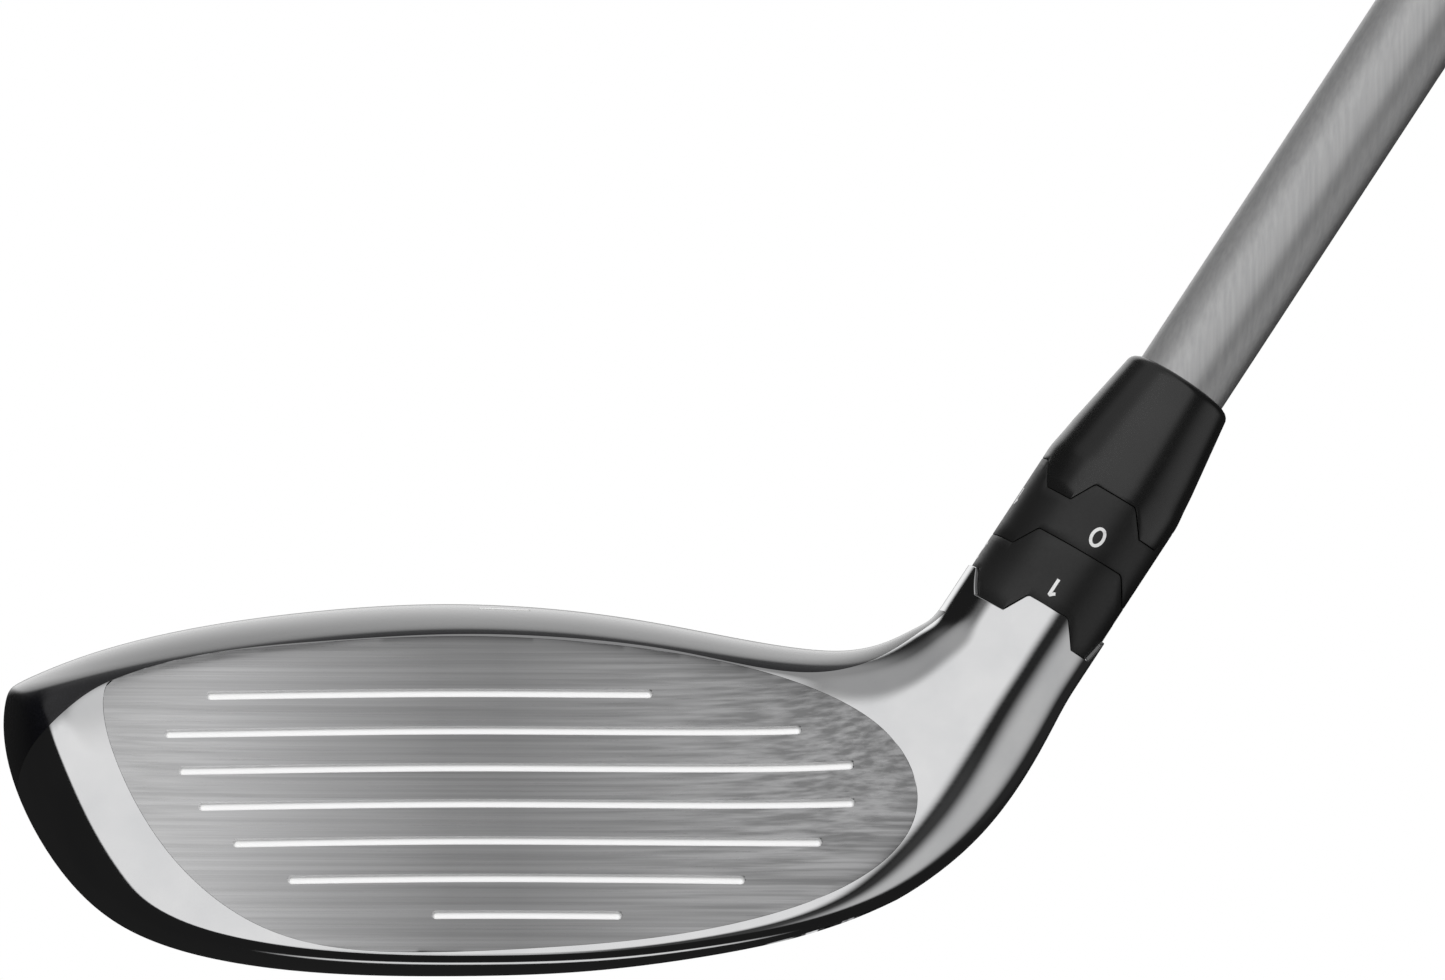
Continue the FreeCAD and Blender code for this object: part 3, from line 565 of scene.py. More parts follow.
plateOutline = [
    (-28.0, 30.6), (-14.0, 32.0), (0.0, 32.3), (15.0, 30.8), (25.5, 28.2), (32.6, 23.9), (37.4, 18.4),
    (39.2, 12.2), (34.2, 6.9), (25.0, 2.9), (13.0, 0.2), (0.0, -0.9), (-14.0, -1.5), (-24.5, -0.3),
    (-31.8, 4.4), (-37.0, 10.8), (-40.4, 18.4), (-41.6, 24.4), (-40.2, 29.4),
]
crownLine = [
    (-60.0, 21.9), (-48.6, 22.0), (-46.6, 23.8), (-42.5, 27.5), (-38.2, 29.8), (-32.0, 31.8), (-19.0, 33.5),
    (-5.0, 34.3), (6.0, 33.9), (16.0, 32.5), (24.0, 30.5), (31.0, 29.9), (36.0, 31.4), (42.0, 35.2),
    (60.0, 47.0),
]
badgeOutline = [(-22.0, 12.0), (-14.0, 23.0), (6.0, 22.0), (15.0, 16.0), (6.0, 10.0), (-10.0, 9.0)]
seats = dict(crownSlope=0.30, crownEnd=3.7, lip=0.02, gap=0.03, plateDepth=1.1, crownDepth=0.8,
             badgeDepth=0.5, seatDepth=0.15)
outside = -6.0      # value of a cut where the skin doesn't face it


# distance along the shaft axis, and away from it
def alongShaft(points):
    return (points - groundPoint) @ shaftDir


def fromShaft(points):
    return np.hypot((points - groundPoint) @ heelDir, points[:, 1])


# how far a point is inside the crown: above its sloping parting surface and short of its end at the neck
def crownValue(points):
    above = points[:, 2] + seats["crownSlope"] * points[:, 1] - smoothLine(points[:, 0], crownLine)
    return np.minimum(above, rimAt - seats["crownEnd"] - alongShaft(points))


# how far a point is inside the face plate's outline, seen square to the face, and below the crown
def plateValue(points, normals):
    flat = np.stack([points[:, 0], points @ faceUp], -1)
    front = (normals @ faceNormal > 0.05) & (points[:, 1] < 7)
    value = np.full(len(points), outside)
    value[front] = insideOutline(flat[front], plateOutline)
    return np.minimum(value, -crownValue(points) - seats["lip"])


# how far a point is inside the badge's outline on the sole, seen from below
def badgeValue(points, normals):
    low = (normals[:, 2] < -0.3) & (points[:, 2] < 14)
    value = np.full(len(points), outside)
    value[low] = insideOutline(points[low][:, :2], badgeOutline)
    return value


screwSizes = dict(portRadius=4.5, stemReach=22.4, floorGap=0.5, web=2.0, boreRadius=5.66, washer=0.8,
                  washerGap=0.1, headHeight=2.9, headRadius=4.0, radius=2.5, length=11.0, endGap=1.5)
boreFloor = rimAt - screwSizes["stemReach"] - screwSizes["floorGap"]
webLow = boreFloor - screwSizes["web"]
weightSizes = dict(x=-4.0, y=33.0, lean=17.0, radius=6.2, gap=0.3, pocketDepth=5.7, height=5.0, stem=3.0,
                   stemReach=4.5)
weightLean = math.radians(weightSizes["lean"])
weightIn = np.array([0.0, -math.sin(weightLean), math.cos(weightLean)])
weightFoot = np.array([weightSizes["x"], weightSizes["y"], 0.0])
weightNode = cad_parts["rear_weight"]
weightCorners = np.zeros(len(weightNode.data.vertices) * 3)
weightNode.data.vertices.foreach_get("co", weightCorners)
# the weight's outer face, along its axis
weightFace = (weightCorners.reshape(-1, 3) * 1000 @ weightIn).min()


# distance along the weight's axis, and away from it
def alongWeight(points):
    return points @ weightIn


def fromWeight(points):
    gap = points - weightFoot
    return np.linalg.norm(gap - (gap @ weightIn)[:, None] * weightIn, axis=1)


cuts = np.stack([
    plateValue(skinPoints, skinNormals), crownValue(skinPoints), badgeValue(skinPoints, skinNormals),
    screwSizes["portRadius"] - fromShaft(skinPoints),
    np.where(skinPoints[:, 2] < 13, weightSizes["radius"] + weightSizes["gap"] - fromWeight(skinPoints),
             outside),
], -1)
skinRows = np.hstack([skinPoints, skinNormals, cuts])
plateCol, crownCol, badgeCol, portCol, pocketCol = 6, 7, 8, 9, 10


# floor of a seat in the shell: the skin inside the outline, sunk along its normal
def addSeat(patches, rows, triangles, column, depth):
    inner, innerTriangles = keptWhere(rows, triangles, rows[:, column])
    floor = inner[:, :3] - inner[:, 3:6] * depth
    patches.add(floor, innerTriangles, inner[:, 3:6])


# the head's skin less its five openings, with the seats, the screw port, the weight's pocket and the neck
def headShell():
    shell = Patches()
    rows, triangles = skinRows, skinTriangles
    for column in (plateCol, crownCol, badgeCol, portCol, pocketCol):
        rows, triangles = keptWhere(rows, triangles, -rows[:, column])
    points, normals = rows[:, :3], rows[:, 3:6]
    shell.add(points, triangles, normals)
    atEdge = np.abs(rows[:, plateCol:pocketCol + 1]) < 1e-9
    for column, depth in ((plateCol, seats["plateDepth"]), (crownCol, seats["crownDepth"]),
                          (badgeCol, seats["badgeDepth"])):
        deep = depth + seats["seatDepth"]
        shell.addWall(points, points - normals * deep, triangles, atEdge[:, column - plateCol])
        addSeat(shell, skinRows, skinTriangles, column, deep)
    # screw port and weight pocket: straight walls to a flat floor closed at its middle
    for column, along, floorAt, way, middle in (
            (portCol, alongShaft, webLow, shaftDir, groundPoint + shaftDir * webLow),
            (pocketCol, alongWeight, weightFace + weightSizes["pocketDepth"], weightIn,
             weightFoot + weightIn * (weightFace + weightSizes["pocketDepth"] - weightFoot @ weightIn))):
        moved = points + (floorAt - along(points))[:, None] * way
        mark = atEdge[:, column - plateCol]
        shell.addWall(points, moved, triangles, mark)
        edges = openEdges(triangles)
        edges = edges[mark[edges].all(1)]
        n = len(edges)
        fan = np.vstack([moved[edges[:, 0]], moved[edges[:, 1]], middle[None]])
        k = np.arange(n)
        shell.add(fan, np.stack([k + n, k, np.full(n, 2 * n)], 1))
    addNeckTop(shell)
    shell.piece("steelHead", "head", steel, replaces=["head_shell"], slot="polished_steel")


teeth = dict(toeFlank=0.50, heelFlank=0.85, soften=0.35, gap=0.05, bevel=0.07, lean=4.3)
rimTeeth = dict(tabs=4, half=2.25, height=2.5, angle=1.7, tilt=3.6, seat=rimAt - 0.25)
pairTeeth = dict(tabs=2, half=4.65, height=2.5, angle=0.5, tilt=4.0, seat=rimAt + 6.1)
ferruleTeeth = dict(tabs=4, half=2.25, height=2.5, angle=-1.3, tilt=3.5, seat=rimAt + 12.55)


# height of a toothed face along the shaft: a plane that slopes down to the toe and the front, with
# flat-topped tabs whose flanks run out evenly, more on the heel side
def toothedFace(radius, angle, face, gap=0.0):
    radius, angle = np.broadcast_arrays(np.asarray(radius, float), np.asarray(angle, float))
    rise = np.zeros(angle.shape)
    soft = teeth["soften"]
    for k in range(face["tabs"]):
        turn = angle - math.radians(face["angle"] + k * 360.0 / face["tabs"])
        side = radius * np.sin(turn)
        flank = np.where(side < 0, teeth["toeFlank"], teeth["heelFlank"])
        beside = np.where(np.cos(turn) > 0, np.abs(side), 1e3)
        past = (beside - face["half"] - gap * np.hypot(1, flank)) / flank
        eased = np.where(past < -soft, 0, np.where(past > soft, past, (past + soft) ** 2 / (4 * soft)))
        rise = np.maximum(rise, face["height"] - eased)
    slope = radius * np.sin(angle) * math.tan(math.radians(face["tilt"]))
    lean = radius * np.cos(angle) * math.tan(math.radians(teeth["lean"]))
    return face["seat"] + gap + rise + slope - lean


# stacks rings of points, each with its own radius and height at every angle, into one closed skin
def ringRows(rings, angles):
    return np.vstack([aboutShaft(radius, angles, along) for radius, along in rings])


# the hosel above the skin's last ring: outside wall, bevelled toothed rim, bore and its floor
def addNeckTop(shell):
    columns = len(gridV)
    base = skinPoints[-columns:]
    side, front = (base - groundPoint) @ heelDir, -base[:, 1]
    angles = np.arctan2(side, front)
    start = alongShaft(base)
    outer, bore, bevel = club["neckRadius"], screwSizes["boreRadius"], teeth["bevel"]
    top = toothedFace(outer, angles, rimTeeth)
    upWall = np.linspace(0, 1, 8)
    rings = [(np.hypot(side, front), start + (top - bevel - start) * share) for share in upWall]
    rings += [(outer - 0.3 * bevel, top - 0.3 * bevel)]
    rings += [(r, toothedFace(r, angles, rimTeeth)) for r in np.linspace(outer - bevel, bore + bevel, 4)]
    inner = toothedFace(bore, angles, rimTeeth)
    floor = np.full(columns, boreFloor)
    rings += [(bore + 0.3 * bevel, inner - 0.3 * bevel), (bore, inner - bevel), (bore, floor), (0.0, floor)]
    points = ringRows(rings, angles)
    triangles = gridTriangles(len(rings), columns)
    outward = skinNormals[-columns:]
    corner = points[triangles[:1]][0]
    if np.cross(corner[1] - corner[0], corner[2] - corner[0]) @ outward[0] < 0:
        triangles = triangles[:, ::-1]
    # the wall keeps the skin's normals; bevels and bore get their own
    radial = np.sin(angles)[:, None] * heelDir + np.cos(angles)[:, None] * frontDir
    normals = np.zeros_like(points)
    normals[:8 * columns] = np.tile(outward, (8, 1))
    normals[-3 * columns:-columns] = np.tile(-radial, (2, 1))
    ring = triangles // columns
    wall = (ring < 8).all(1)
    inside = ((ring >= len(rings) - 3) & (ring < len(rings) - 1)).all(1)
    shell.add(points, triangles[wall], normals)
    shell.add(points, triangles[inside], normals)
    shell.add(points, triangles[~wall & ~inside])


headShell()


# a plate that lies in a seat: the skin inside the outline, its walls and its underside
def platePiece(name, column, depth, material, node, slot):
    rows, triangles = keptWhere(skinRows, skinTriangles, skinRows[:, column] - seats["gap"])
    points, normals = rows[:, :3], rows[:, 3:6]
    plate = Patches()
    plate.add(points, triangles, normals)
    under = points - normals * depth
    plate.addWall(points, under, triangles)
    plate.add(under, triangles[:, ::-1], -normals)
    plate.piece(name, "head", material, replaces=[node], slot=slot)


platePiece("crownCap", crownCol, seats["crownDepth"], lacquer, "crown_cap", "black_paint")
platePiece("soleBadge", badgeCol, seats["badgeDepth"], badgeMetal, "sole_badge", "badge")


# grooves, from the top: height up the face, toe end and heel end
grooves = [(26.05, -30.9, 13.1), (22.1, -35.2, 27.4), (18.2, -34.0, 32.2), (14.4, -32.2, 32.2),
           (10.5, -29.0, 28.9), (6.55, -23.8, 21.2), (2.7, -9.8, 8.9)]
facePlan = dict(grooveWidth=0.92, grooveDepth=0.40, cell=0.8, endCell=0.09, bow=0.00055, bowCentre=-1.0)


# groove centre line: level, dropping slightly towards the ends as a parabola
def grooveDrop(x):
    return facePlan["bow"] * (x - facePlan["bowCentre"]) ** 2


# finds u and v on the skin for places given by x and height up the face, by Newton's steps
def onFace(x, h):
    near = (skinNormals @ faceNormal > 0.3) & (skinPoints[:, 1] < 9)
    places = np.stack([skinPoints[near][:, 0], skinPoints[near] @ faceUp], -1)
    fromU, fromV = allU[near], allV[near]
    coarse = np.array_split(np.arange(len(x)), max(1, len(x) // 500))
    nearest = np.concatenate([
        ((places[None, ::3] - np.stack([x[k], h[k]], -1)[:, None]) ** 2).sum(-1).argmin(1) * 3
        for k in coarse])
    u, v = fromU[nearest], fromV[nearest]
    step = 1e-3
    for _ in range(6):
        here = headAt(u, v)
        du = (headAt(u + step, v) - here) / step
        dv = (headAt(u, v + step) - here) / step
        ex, eh = x - here[:, 0], h - here @ faceUp
        a, b, c, d = du[:, 0], dv[:, 0], du @ faceUp, dv @ faceUp
        det = a * d - b * c
        det = np.where(np.abs(det) < 1e-6, 1e-6, det)
        u = u + np.clip((ex * d - eh * b) / det, -0.2, 0.2)
        v = v + np.clip((eh * a - ex * c) / det, -0.2, 0.2)
    return u, v % poleCount


# the face on a grid of x and height, finer at the grooves: each point is the skin's, sunk by the groove's
# depth, clipped to the outline and closed by walls and an underside
def facePlate():
    half, deep = facePlan["grooveWidth"] / 2, facePlan["grooveDepth"]
    xs = [np.arange(-43.2, 41.0, facePlan["cell"])]
    for _, low, high in grooves:
        for end in (low, high):
            xs.append(end + np.arange(-half - 0.1, half + 0.12, facePlan["endCell"]))
    xs = np.unique(np.round(np.concatenate(xs), 3))
    xs = xs[np.concatenate([[True], np.diff(xs) > 0.03])]
    across = np.array([-1.12, -1.0, -0.93, -0.8, -0.6, -0.35, 0, 0.35, 0.6, 0.8, 0.93, 1.0, 1.12]) * half
    hs = [np.arange(-2.6, 33.4, 0.75)]
    clear = np.ones(len(hs[0]), bool)
    for height, _, _ in grooves:
        clear &= np.abs(hs[0] - height) > half * 1.3
        hs.append(height + across)
    hs[0] = hs[0][clear]
    hs = np.sort(np.concatenate(hs))
    x, level = [g.ravel() for g in np.meshgrid(xs, hs, indexing="ij")]
    h = level - grooveDrop(x)
    u, v = onFace(x, h)
    points, normals = headAt(u, v), headNormal(u, v)
    # depth of a groove: a rounded channel whose ends are half circles
    sunk = np.zeros(len(x))
    for height, low, high in grooves:
        past = np.maximum(0, np.maximum(low + half - x, x - high + half))
        away = np.clip(np.hypot(past, level - height) / half, 0, 1)
        sunk = np.maximum(sunk, (1 - away ** 3.2) ** 0.55)
    value = plateValue(points, normals) - seats["gap"]
    sunkPoints = points - normals * (sunk * deep)[:, None]
    rows = np.hstack([sunkPoints, sunk[:, None], normals, value[:, None]])
    triangles = gridTriangles(len(xs), len(hs), wrapped=False)
    corner = points[triangles]
    way = np.cross(corner[:, 1] - corner[:, 0], corner[:, 2] - corner[:, 0])
    if (way @ faceNormal).mean() < 0:
        triangles = triangles[:, ::-1]
    rows, triangles = keptWhere(rows, triangles, rows[:, 7])
    outer, normals = rows[:, :4], rows[:, 4:7]
    edges = openEdges(triangles)
    a, b = edges.T
    under = rows[:, :4].copy()
    under[:, :3] = rows[:, :3] - normals * (seats["plateDepth"] - deep * rows[:, 3:4])
    under[:, 3] = 0
    n = len(outer)
    count = len(edges)
    wall = np.vstack([np.stack([b, a, a + n], 1), np.stack([b, a + n, b + n], 1)])
    allPoints = np.vstack([outer, under])
    allTriangles = np.vstack([triangles, wall, triangles[:, ::-1] + n])
    makePiece("facePlate", allPoints, allTriangles, "head", faceSteelPaintedReflection, replaces=["face_plate"],
              slot="brushed_steel", sharp=50, value="groove")


facePlate()


cogSizes = dict(radius=7.4, bore=5.66, columns=900)


# ring between two toothed faces: outside wall, bevels, top, bore and underside, closed round
def cogPiece(name, low, high, body, node):
    angles = np.linspace(0, 2 * math.pi, cogSizes["columns"], endpoint=False)
    outer, bore, bevel = cogSizes["radius"], cogSizes["bore"], teeth["bevel"]

    def under(r):
        return toothedFace(r, angles, low, teeth["gap"])

    def over(r):
        return toothedFace(r, angles, high)

    lowEdge, highEdge = under(outer), over(outer)
    wall = highEdge - lowEdge - 2 * bevel
    rings = [(outer, lowEdge + bevel + wall * share) for share in np.linspace(0, 1, 7)]
    rings += [(outer - 0.3 * bevel, highEdge - 0.3 * bevel), (outer - bevel, over(outer - bevel)),
              ((outer + bore) / 2, over((outer + bore) / 2)), (bore + bevel, over(bore + bevel)),
              (bore, over(bore) - bevel), (bore, under(bore) + bevel), (bore + bevel, under(bore + bevel)),
              ((outer + bore) / 2, under((outer + bore) / 2)), (outer - bevel, under(outer - bevel)),
              (outer - 0.3 * bevel, lowEdge + 0.3 * bevel)]
    points = ringRows(rings, angles)
    triangles = gridTriangles(len(rings) + 1, len(angles)) % len(points)
    makePiece(name, points, triangles, body, cogBlack, replaces=[node], slot="black_anodised", sharp=32)


cogPiece("lowerCog", rimTeeth, pairTeeth, "lower_cog", "lower_cog")
cogPiece("upperCog", pairTeeth, ferruleTeeth, "upper_cog", "upper_cog")

ferruleSizes = dict(knee=4.15, height=15.75, topRadius=5.75, edge=0.9, inner=4.76, sleeveInner=5.66)


# a short straight ring above the toothed underside, a soft knee, then a straight taper to a rounded top
def ferrulePiece():
    angles = np.linspace(0, 2 * math.pi, cogSizes["columns"], endpoint=False)
    outer, bevel = cogSizes["radius"], teeth["bevel"]
    seat, s = ferruleTeeth["seat"], ferruleSizes
    knee, top = seat + s["knee"], seat + s["height"]
    low = toothedFace(outer, angles, ferruleTeeth, teeth["gap"])
    slope = (outer - s["topRadius"]) / (top - s["edge"] - knee)

    def full(value):
        return np.full(len(angles), value)

    rings = [(outer, low + bevel + (knee - 0.8 - low - bevel) * share) for share in (0, 0.3, 0.6, 1)]
    rings += [(outer - 0.03, full(knee - 0.3)), (outer - 0.10, full(knee + 0.25)),
              (outer - slope * 1.2 - 0.06, full(knee + 1.2))]
    rings += [(outer - slope * d, full(knee + d)) for d in (3.0, 6.0, 9.0, top - s["edge"] - knee)]
    turn = np.radians([18, 36, 54, 72, 90])
    rings += [(s["topRadius"] - s["edge"] * (1 - math.cos(t)), full(top - s["edge"] * (1 - math.sin(t))))
              for t in turn]
    inner = toothedFace(s["sleeveInner"], angles, ferruleTeeth, teeth["gap"])
    rings += [(s["inner"], full(top - 0.1)), (s["inner"], full(knee)),
              (s["sleeveInner"], full(knee)), (s["sleeveInner"], inner),
              (outer - bevel, toothedFace(outer - bevel, angles, ferruleTeeth, teeth["gap"])),
              (outer - 0.3 * bevel, low + 0.3 * bevel)]
    points = ringRows(rings, angles)
    triangles = gridTriangles(len(rings) + 1, len(angles)) % len(points)
    makePiece("blackFerrule", points, triangles, "shaft_assembly", ferruleBlack, replaces=["ferrule"],
              slot="ferrule_black", sharp=32)


ferrulePiece()


# solid turned about the shaft axis from a closed profile of radius and distance along it
def turnedPiece(name, profile, body, material, replaces=(), slot=None, columns=96, sharp=30):
    angles = np.linspace(0, 2 * math.pi, columns, endpoint=False)
    profile = np.array(profile, float)
    rings = [(np.full(columns, r), np.full(columns, t)) for r, t in profile]
    points = ringRows(rings, angles)
    triangles = gridTriangles(len(rings) + 1, columns) % len(points)
    makePiece(name, points, triangles, body, material, replaces=replaces, slot=slot, sharp=sharp)


sleeveLow = rimAt - screwSizes["stemReach"]
shaftSeat = sleeveLow + screwSizes["length"]
sleeveSizes = dict(radius=5.6, insertRadius=3.65, shaftHole=4.75, chamfer=0.5)


# a tube with three shallow grooves, open for the insert below and the shaft above
def sleevePiece():
    s = sleeveSizes
    top = ferruleTeeth["seat"] + ferruleSizes["knee"]
    radius = s["radius"]
    profile = [(s["insertRadius"], sleeveLow), (radius - s["chamfer"], sleeveLow),
               (radius, sleeveLow + s["chamfer"])]
    # three shallow grooves that hold the bond and centre the sleeve
    for at in (4.0, 9.0, 14.0):
        profile += [(radius, sleeveLow + at), (radius - 0.25, sleeveLow + at + 0.2),
                    (radius - 0.25, sleeveLow + at + 0.8), (radius, sleeveLow + at + 1.0)]
    profile += [(radius, top), (s["shaftHole"], top), (s["shaftHole"], shaftSeat),
                (s["insertRadius"], shaftSeat)]
    turnedPiece("adapterSleeve", profile, "shaft_assembly", sleeveMetal, ["adapter_sleeve"], "sleeve_metal",
                128)


sleevePiece()

shaftSizes = dict(tip=4.7, butt=7.6, wall=1.25, tipRun=130.0, buttRun=255.0)


# a tube: parallel tip, straight taper, parallel butt
def shaftPiece():
    s = shaftSizes
    low, high = shaftSeat + 0.05, club["length"] - club["capEnd"]
    taperLow, taperHigh = shaftSeat + s["tipRun"], high - s["buttRun"]
    places = np.concatenate([np.linspace(low, taperLow, 14), np.linspace(taperLow, taperHigh, 40)[1:],
                             np.linspace(taperHigh, high, 12)[1:]])
    share = np.clip((places - taperLow) / (taperHigh - taperLow), 0, 1)
    radius = s["tip"] + share * (s["butt"] - s["tip"])
    wall = np.stack([radius, places], 1)
    hole = np.stack([radius - s["wall"], places], 1)[::-1]
    turnedPiece("taperedShaft", np.vstack([wall, hole]), "shaft_assembly", greyShaft, ["shaft"],
                "shaft_grey", 144)


shaftPiece()
print("adapter and shaft made")


gripSizes = dict(length=267.0, mouth=9.9, butt=13.6, cap=15.2, collar=4.0, edge=0.8, inner=7.9,
                 pitch=3.4, cuts=9, cut=0.32, land=0.72, plainBand=9.0, bandStep=62.0, bandHalf=2.4,
                 columns=204, step=0.57)


# the grip's outside: an even taper with slightly soft collars; two sets of helical cuts cross each other
# between plain bands, and each cut is a rounded valley
def gripPiece():
    s = gripSizes
    low, high = club["length"] - s["length"], club["length"] - club["capEnd"]
    places = np.concatenate([[low, low + 0.25, low + 0.8, low + s["collar"]],
                             np.arange(low + s["collar"] + s["step"], high - s["collar"], s["step"]),
                             [high - s["collar"], high - 2.6, high - 1.4, high - s["edge"], high]])
    angles = np.linspace(0, 2 * math.pi, s["columns"], endpoint=False)
    flare = s["cap"] - s["edge"]
    radius = np.interp(places, [low, low + 0.25, low + 0.8, low + s["collar"], high - s["collar"],
                                high - 2.6, high - 1.4, high - s["edge"], high],
                       [s["mouth"] - 0.8, s["mouth"] - 0.3, s["mouth"], s["mouth"], s["butt"],
                        s["butt"] + 0.15, s["butt"] + 0.45, flare - 0.05, flare])
    along, around = np.meshgrid(places, angles, indexing="ij")
    up = (along - low) / s["pitch"] / 2
    left = np.abs((s["cuts"] * around / (2 * math.pi) + up) % 1 - 0.5) * 2
    right = np.abs((s["cuts"] * around / (2 * math.pi) - up) % 1 - 0.5) * 2
    land = s["land"]
    valley = np.maximum(np.clip((left - land) / (1 - land), 0, 1), np.clip((right - land) / (1 - land), 0, 1))
    valley = valley ** 2 * (3 - 2 * valley)
    span = np.minimum(along - low - s["plainBand"], high - s["plainBand"] - 4 - along)
    ring = (along - low) % s["bandStep"]
    band = np.minimum(np.abs(ring - 2.0), np.abs(ring - s["bandStep"] - 2.0)) - s["bandHalf"]
    fade = np.clip(span / 1.2, 0, 1) * np.clip(band / 0.8, 0, 1)
    wide = radius[:, None] - s["cut"] * valley * fade
    points = aboutShaft(wide, around, along).reshape(-1, 3)
    around = np.ones(len(angles))
    inner = ringRows([(s["inner"] * around, t * around) for t in (high, low)], angles)
    points = np.vstack([points, inner])
    rows = len(places) + 2
    triangles = gridTriangles(rows + 1, len(angles)) % len(points)
    makePiece("rubberGrip", points, triangles, "shaft_assembly", gripRubber, replaces=["grip"],
              slot="grip_rubber", sharp=55)


gripPiece()


# a domed disc with a ring groove and the vent through its middle
def gripCapPiece():
    s = gripSizes
    low, high = club["length"] - club["capEnd"], club["length"]
    vent, cap = 1.6, s["cap"]
    profile = [(vent, low), (cap - 0.8, low), (cap - 0.25, low + 0.25), (cap, low + 0.8), (cap, low + 2.6),
               (cap - 0.45, low + 3.5), (cap - 1.6, high - 0.8), (cap - 2.6, high - 0.3), (cap - 4.0, high),
               (8.6, high), (8.2, high - 0.5), (7.6, high - 0.5), (7.2, high), (3.2, high),
               (2.4, high - 0.12), (vent + 0.25, high - 0.15), (vent, high - 0.4)]
    turnedPiece("gripCap", profile, "shaft_assembly", gripRubber, ["grip_cap"], "grip_rubber", 128, sharp=40)


gripCapPiece()
print("grip made")


starSizes = dict(radius=1.62, lobe=0.24, lobes=6, depth=1.9)
threadSizes = dict(pitch=0.8, screwDepth=0.38, weightDepth=0.4, runOut=0.4, step=0.1)


# turned fastener on any axis: a closed profile whose marked rings follow a star and whose thread is a helix
def fastener(name, foot, way, profile, star, thread, body, material, node, slot, columns=120):
    across = np.array([1.0, 0.0, 0.0]) - way[0] * way
    across /= np.linalg.norm(across)
    other = np.cross(way, across)
    angles = np.linspace(0, 2 * math.pi, columns, endpoint=False)
    profile = np.array(profile, float)
    radius = np.repeat(profile[:, :1], columns, 1)
    along = np.repeat(profile[:, 1:], columns, 1)
    lobes = starSizes["radius"] + starSizes["lobe"] * np.cos(starSizes["lobes"] * angles)
    starred = np.array(star)
    radius[starred] = radius[starred] / radius[starred].max() * lobes
    if thread:
        low, high, pitch, depth = thread
        plain = ~np.isin(np.arange(len(profile)), starred)[:, None]
        inRun = (along > low) & (along < high) & (radius > 1.0) & plain
        phase = (along / pitch - angles[None] / (2 * math.pi)) % 1
        fade = np.clip(np.minimum(along - low, high - along) / pitch, 0, 1)
        radius = radius - np.where(inRun, depth * (1 - np.abs(2 * phase - 1)) * fade, 0)
    points = foot + along[..., None] * way + radius[..., None] * (
        np.cos(angles)[None, :, None] * across + np.sin(angles)[None, :, None] * other)
    points = points.reshape(-1, 3)
    triangles = gridTriangles(len(profile), columns)
    makePiece(name, points, facingOut(points, triangles), body, material, replaces=[node], slot=slot,
              sharp=35)


# floor, wall and rim of the star-shaped recess, whose rings 1 to 3 follow the star
def starRecess(low):
    radius, deep = starSizes["radius"], starSizes["depth"]
    return [(0.0, low + deep), (1.0, low + deep), (radius, low + deep - 0.05), (radius, low + 0.12),
            (1.9, low)]


# threaded stem from start to end, with a small cone at its tip
def stem(radius, start, end):
    run = np.arange(start + threadSizes["runOut"], end - 0.5, threadSizes["step"])
    return [(radius, t) for t in run] + [(radius, end - 0.4), (radius - 0.4, end), (0.0, end)]


# a flat head with the recess, then the stem that reaches into the sleeve's insert
def retainingScrew():
    s = screwSizes
    seat = webLow - s["washer"] - s["washerGap"]
    low = seat - s["headHeight"]
    end = shaftSeat - s["endGap"]
    head = s["headRadius"]
    profile = starRecess(low) + [(head - 0.3, low), (head, low + 0.3), (head, seat - 0.15),
                                 (head - 0.15, seat), (s["radius"], seat)] + stem(s["radius"], seat, end)
    thread = (seat + threadSizes["runOut"], end - 0.3, threadSizes["pitch"], threadSizes["screwDepth"])
    fastener("retainingScrew", groundPoint, shaftDir, profile, [1, 2, 3], thread, "retaining_screw",
             screwMetal, "retaining_screw", "screw_steel")


# a wide plug with a shallow ring groove in its face, then a stem into the sole
def rearWeight():
    s = weightSizes
    foot = weightFoot - weightIn * (weightFoot @ weightIn)
    low = weightFace
    deep = low + s["height"]
    end = low + s["pocketDepth"] + s["stemReach"]
    wide = s["radius"]
    profile = starRecess(low) + [(3.3, low), (3.5, low + 0.12), (3.9, low + 0.12), (4.1, low),
                                 (wide - 0.5, low), (wide - 0.15, low + 0.15), (wide, low + 0.5),
                                 (wide, deep - 0.2), (wide - 0.2, deep), (s["stem"], deep)]
    profile += stem(s["stem"], deep, end)
    thread = (deep + threadSizes["runOut"], end - 0.3, threadSizes["pitch"], threadSizes["weightDepth"])
    fastener("rearWeight", foot, weightIn, profile, [1, 2, 3], thread, "rear_weight", weightMetal,
             "rear_weight", "weight_metal")


retainingScrew()
rearWeight()
print("screws made")


# thin raised mark between an upper and a lower sheet of the same triangles, turned to face outwards
def makeMark(name, over, under, triangles, body):
    n = len(over)
    a, b = openEdges(triangles).T
    wall = np.vstack([np.stack([b, a, a + n], 1), np.stack([b, a + n, b + n], 1)])
    points = np.vstack([over, under])
    everything = np.vstack([triangles, wall, triangles[:, ::-1] + n])
    makePiece(name, points, facingOut(points, everything), body, white)


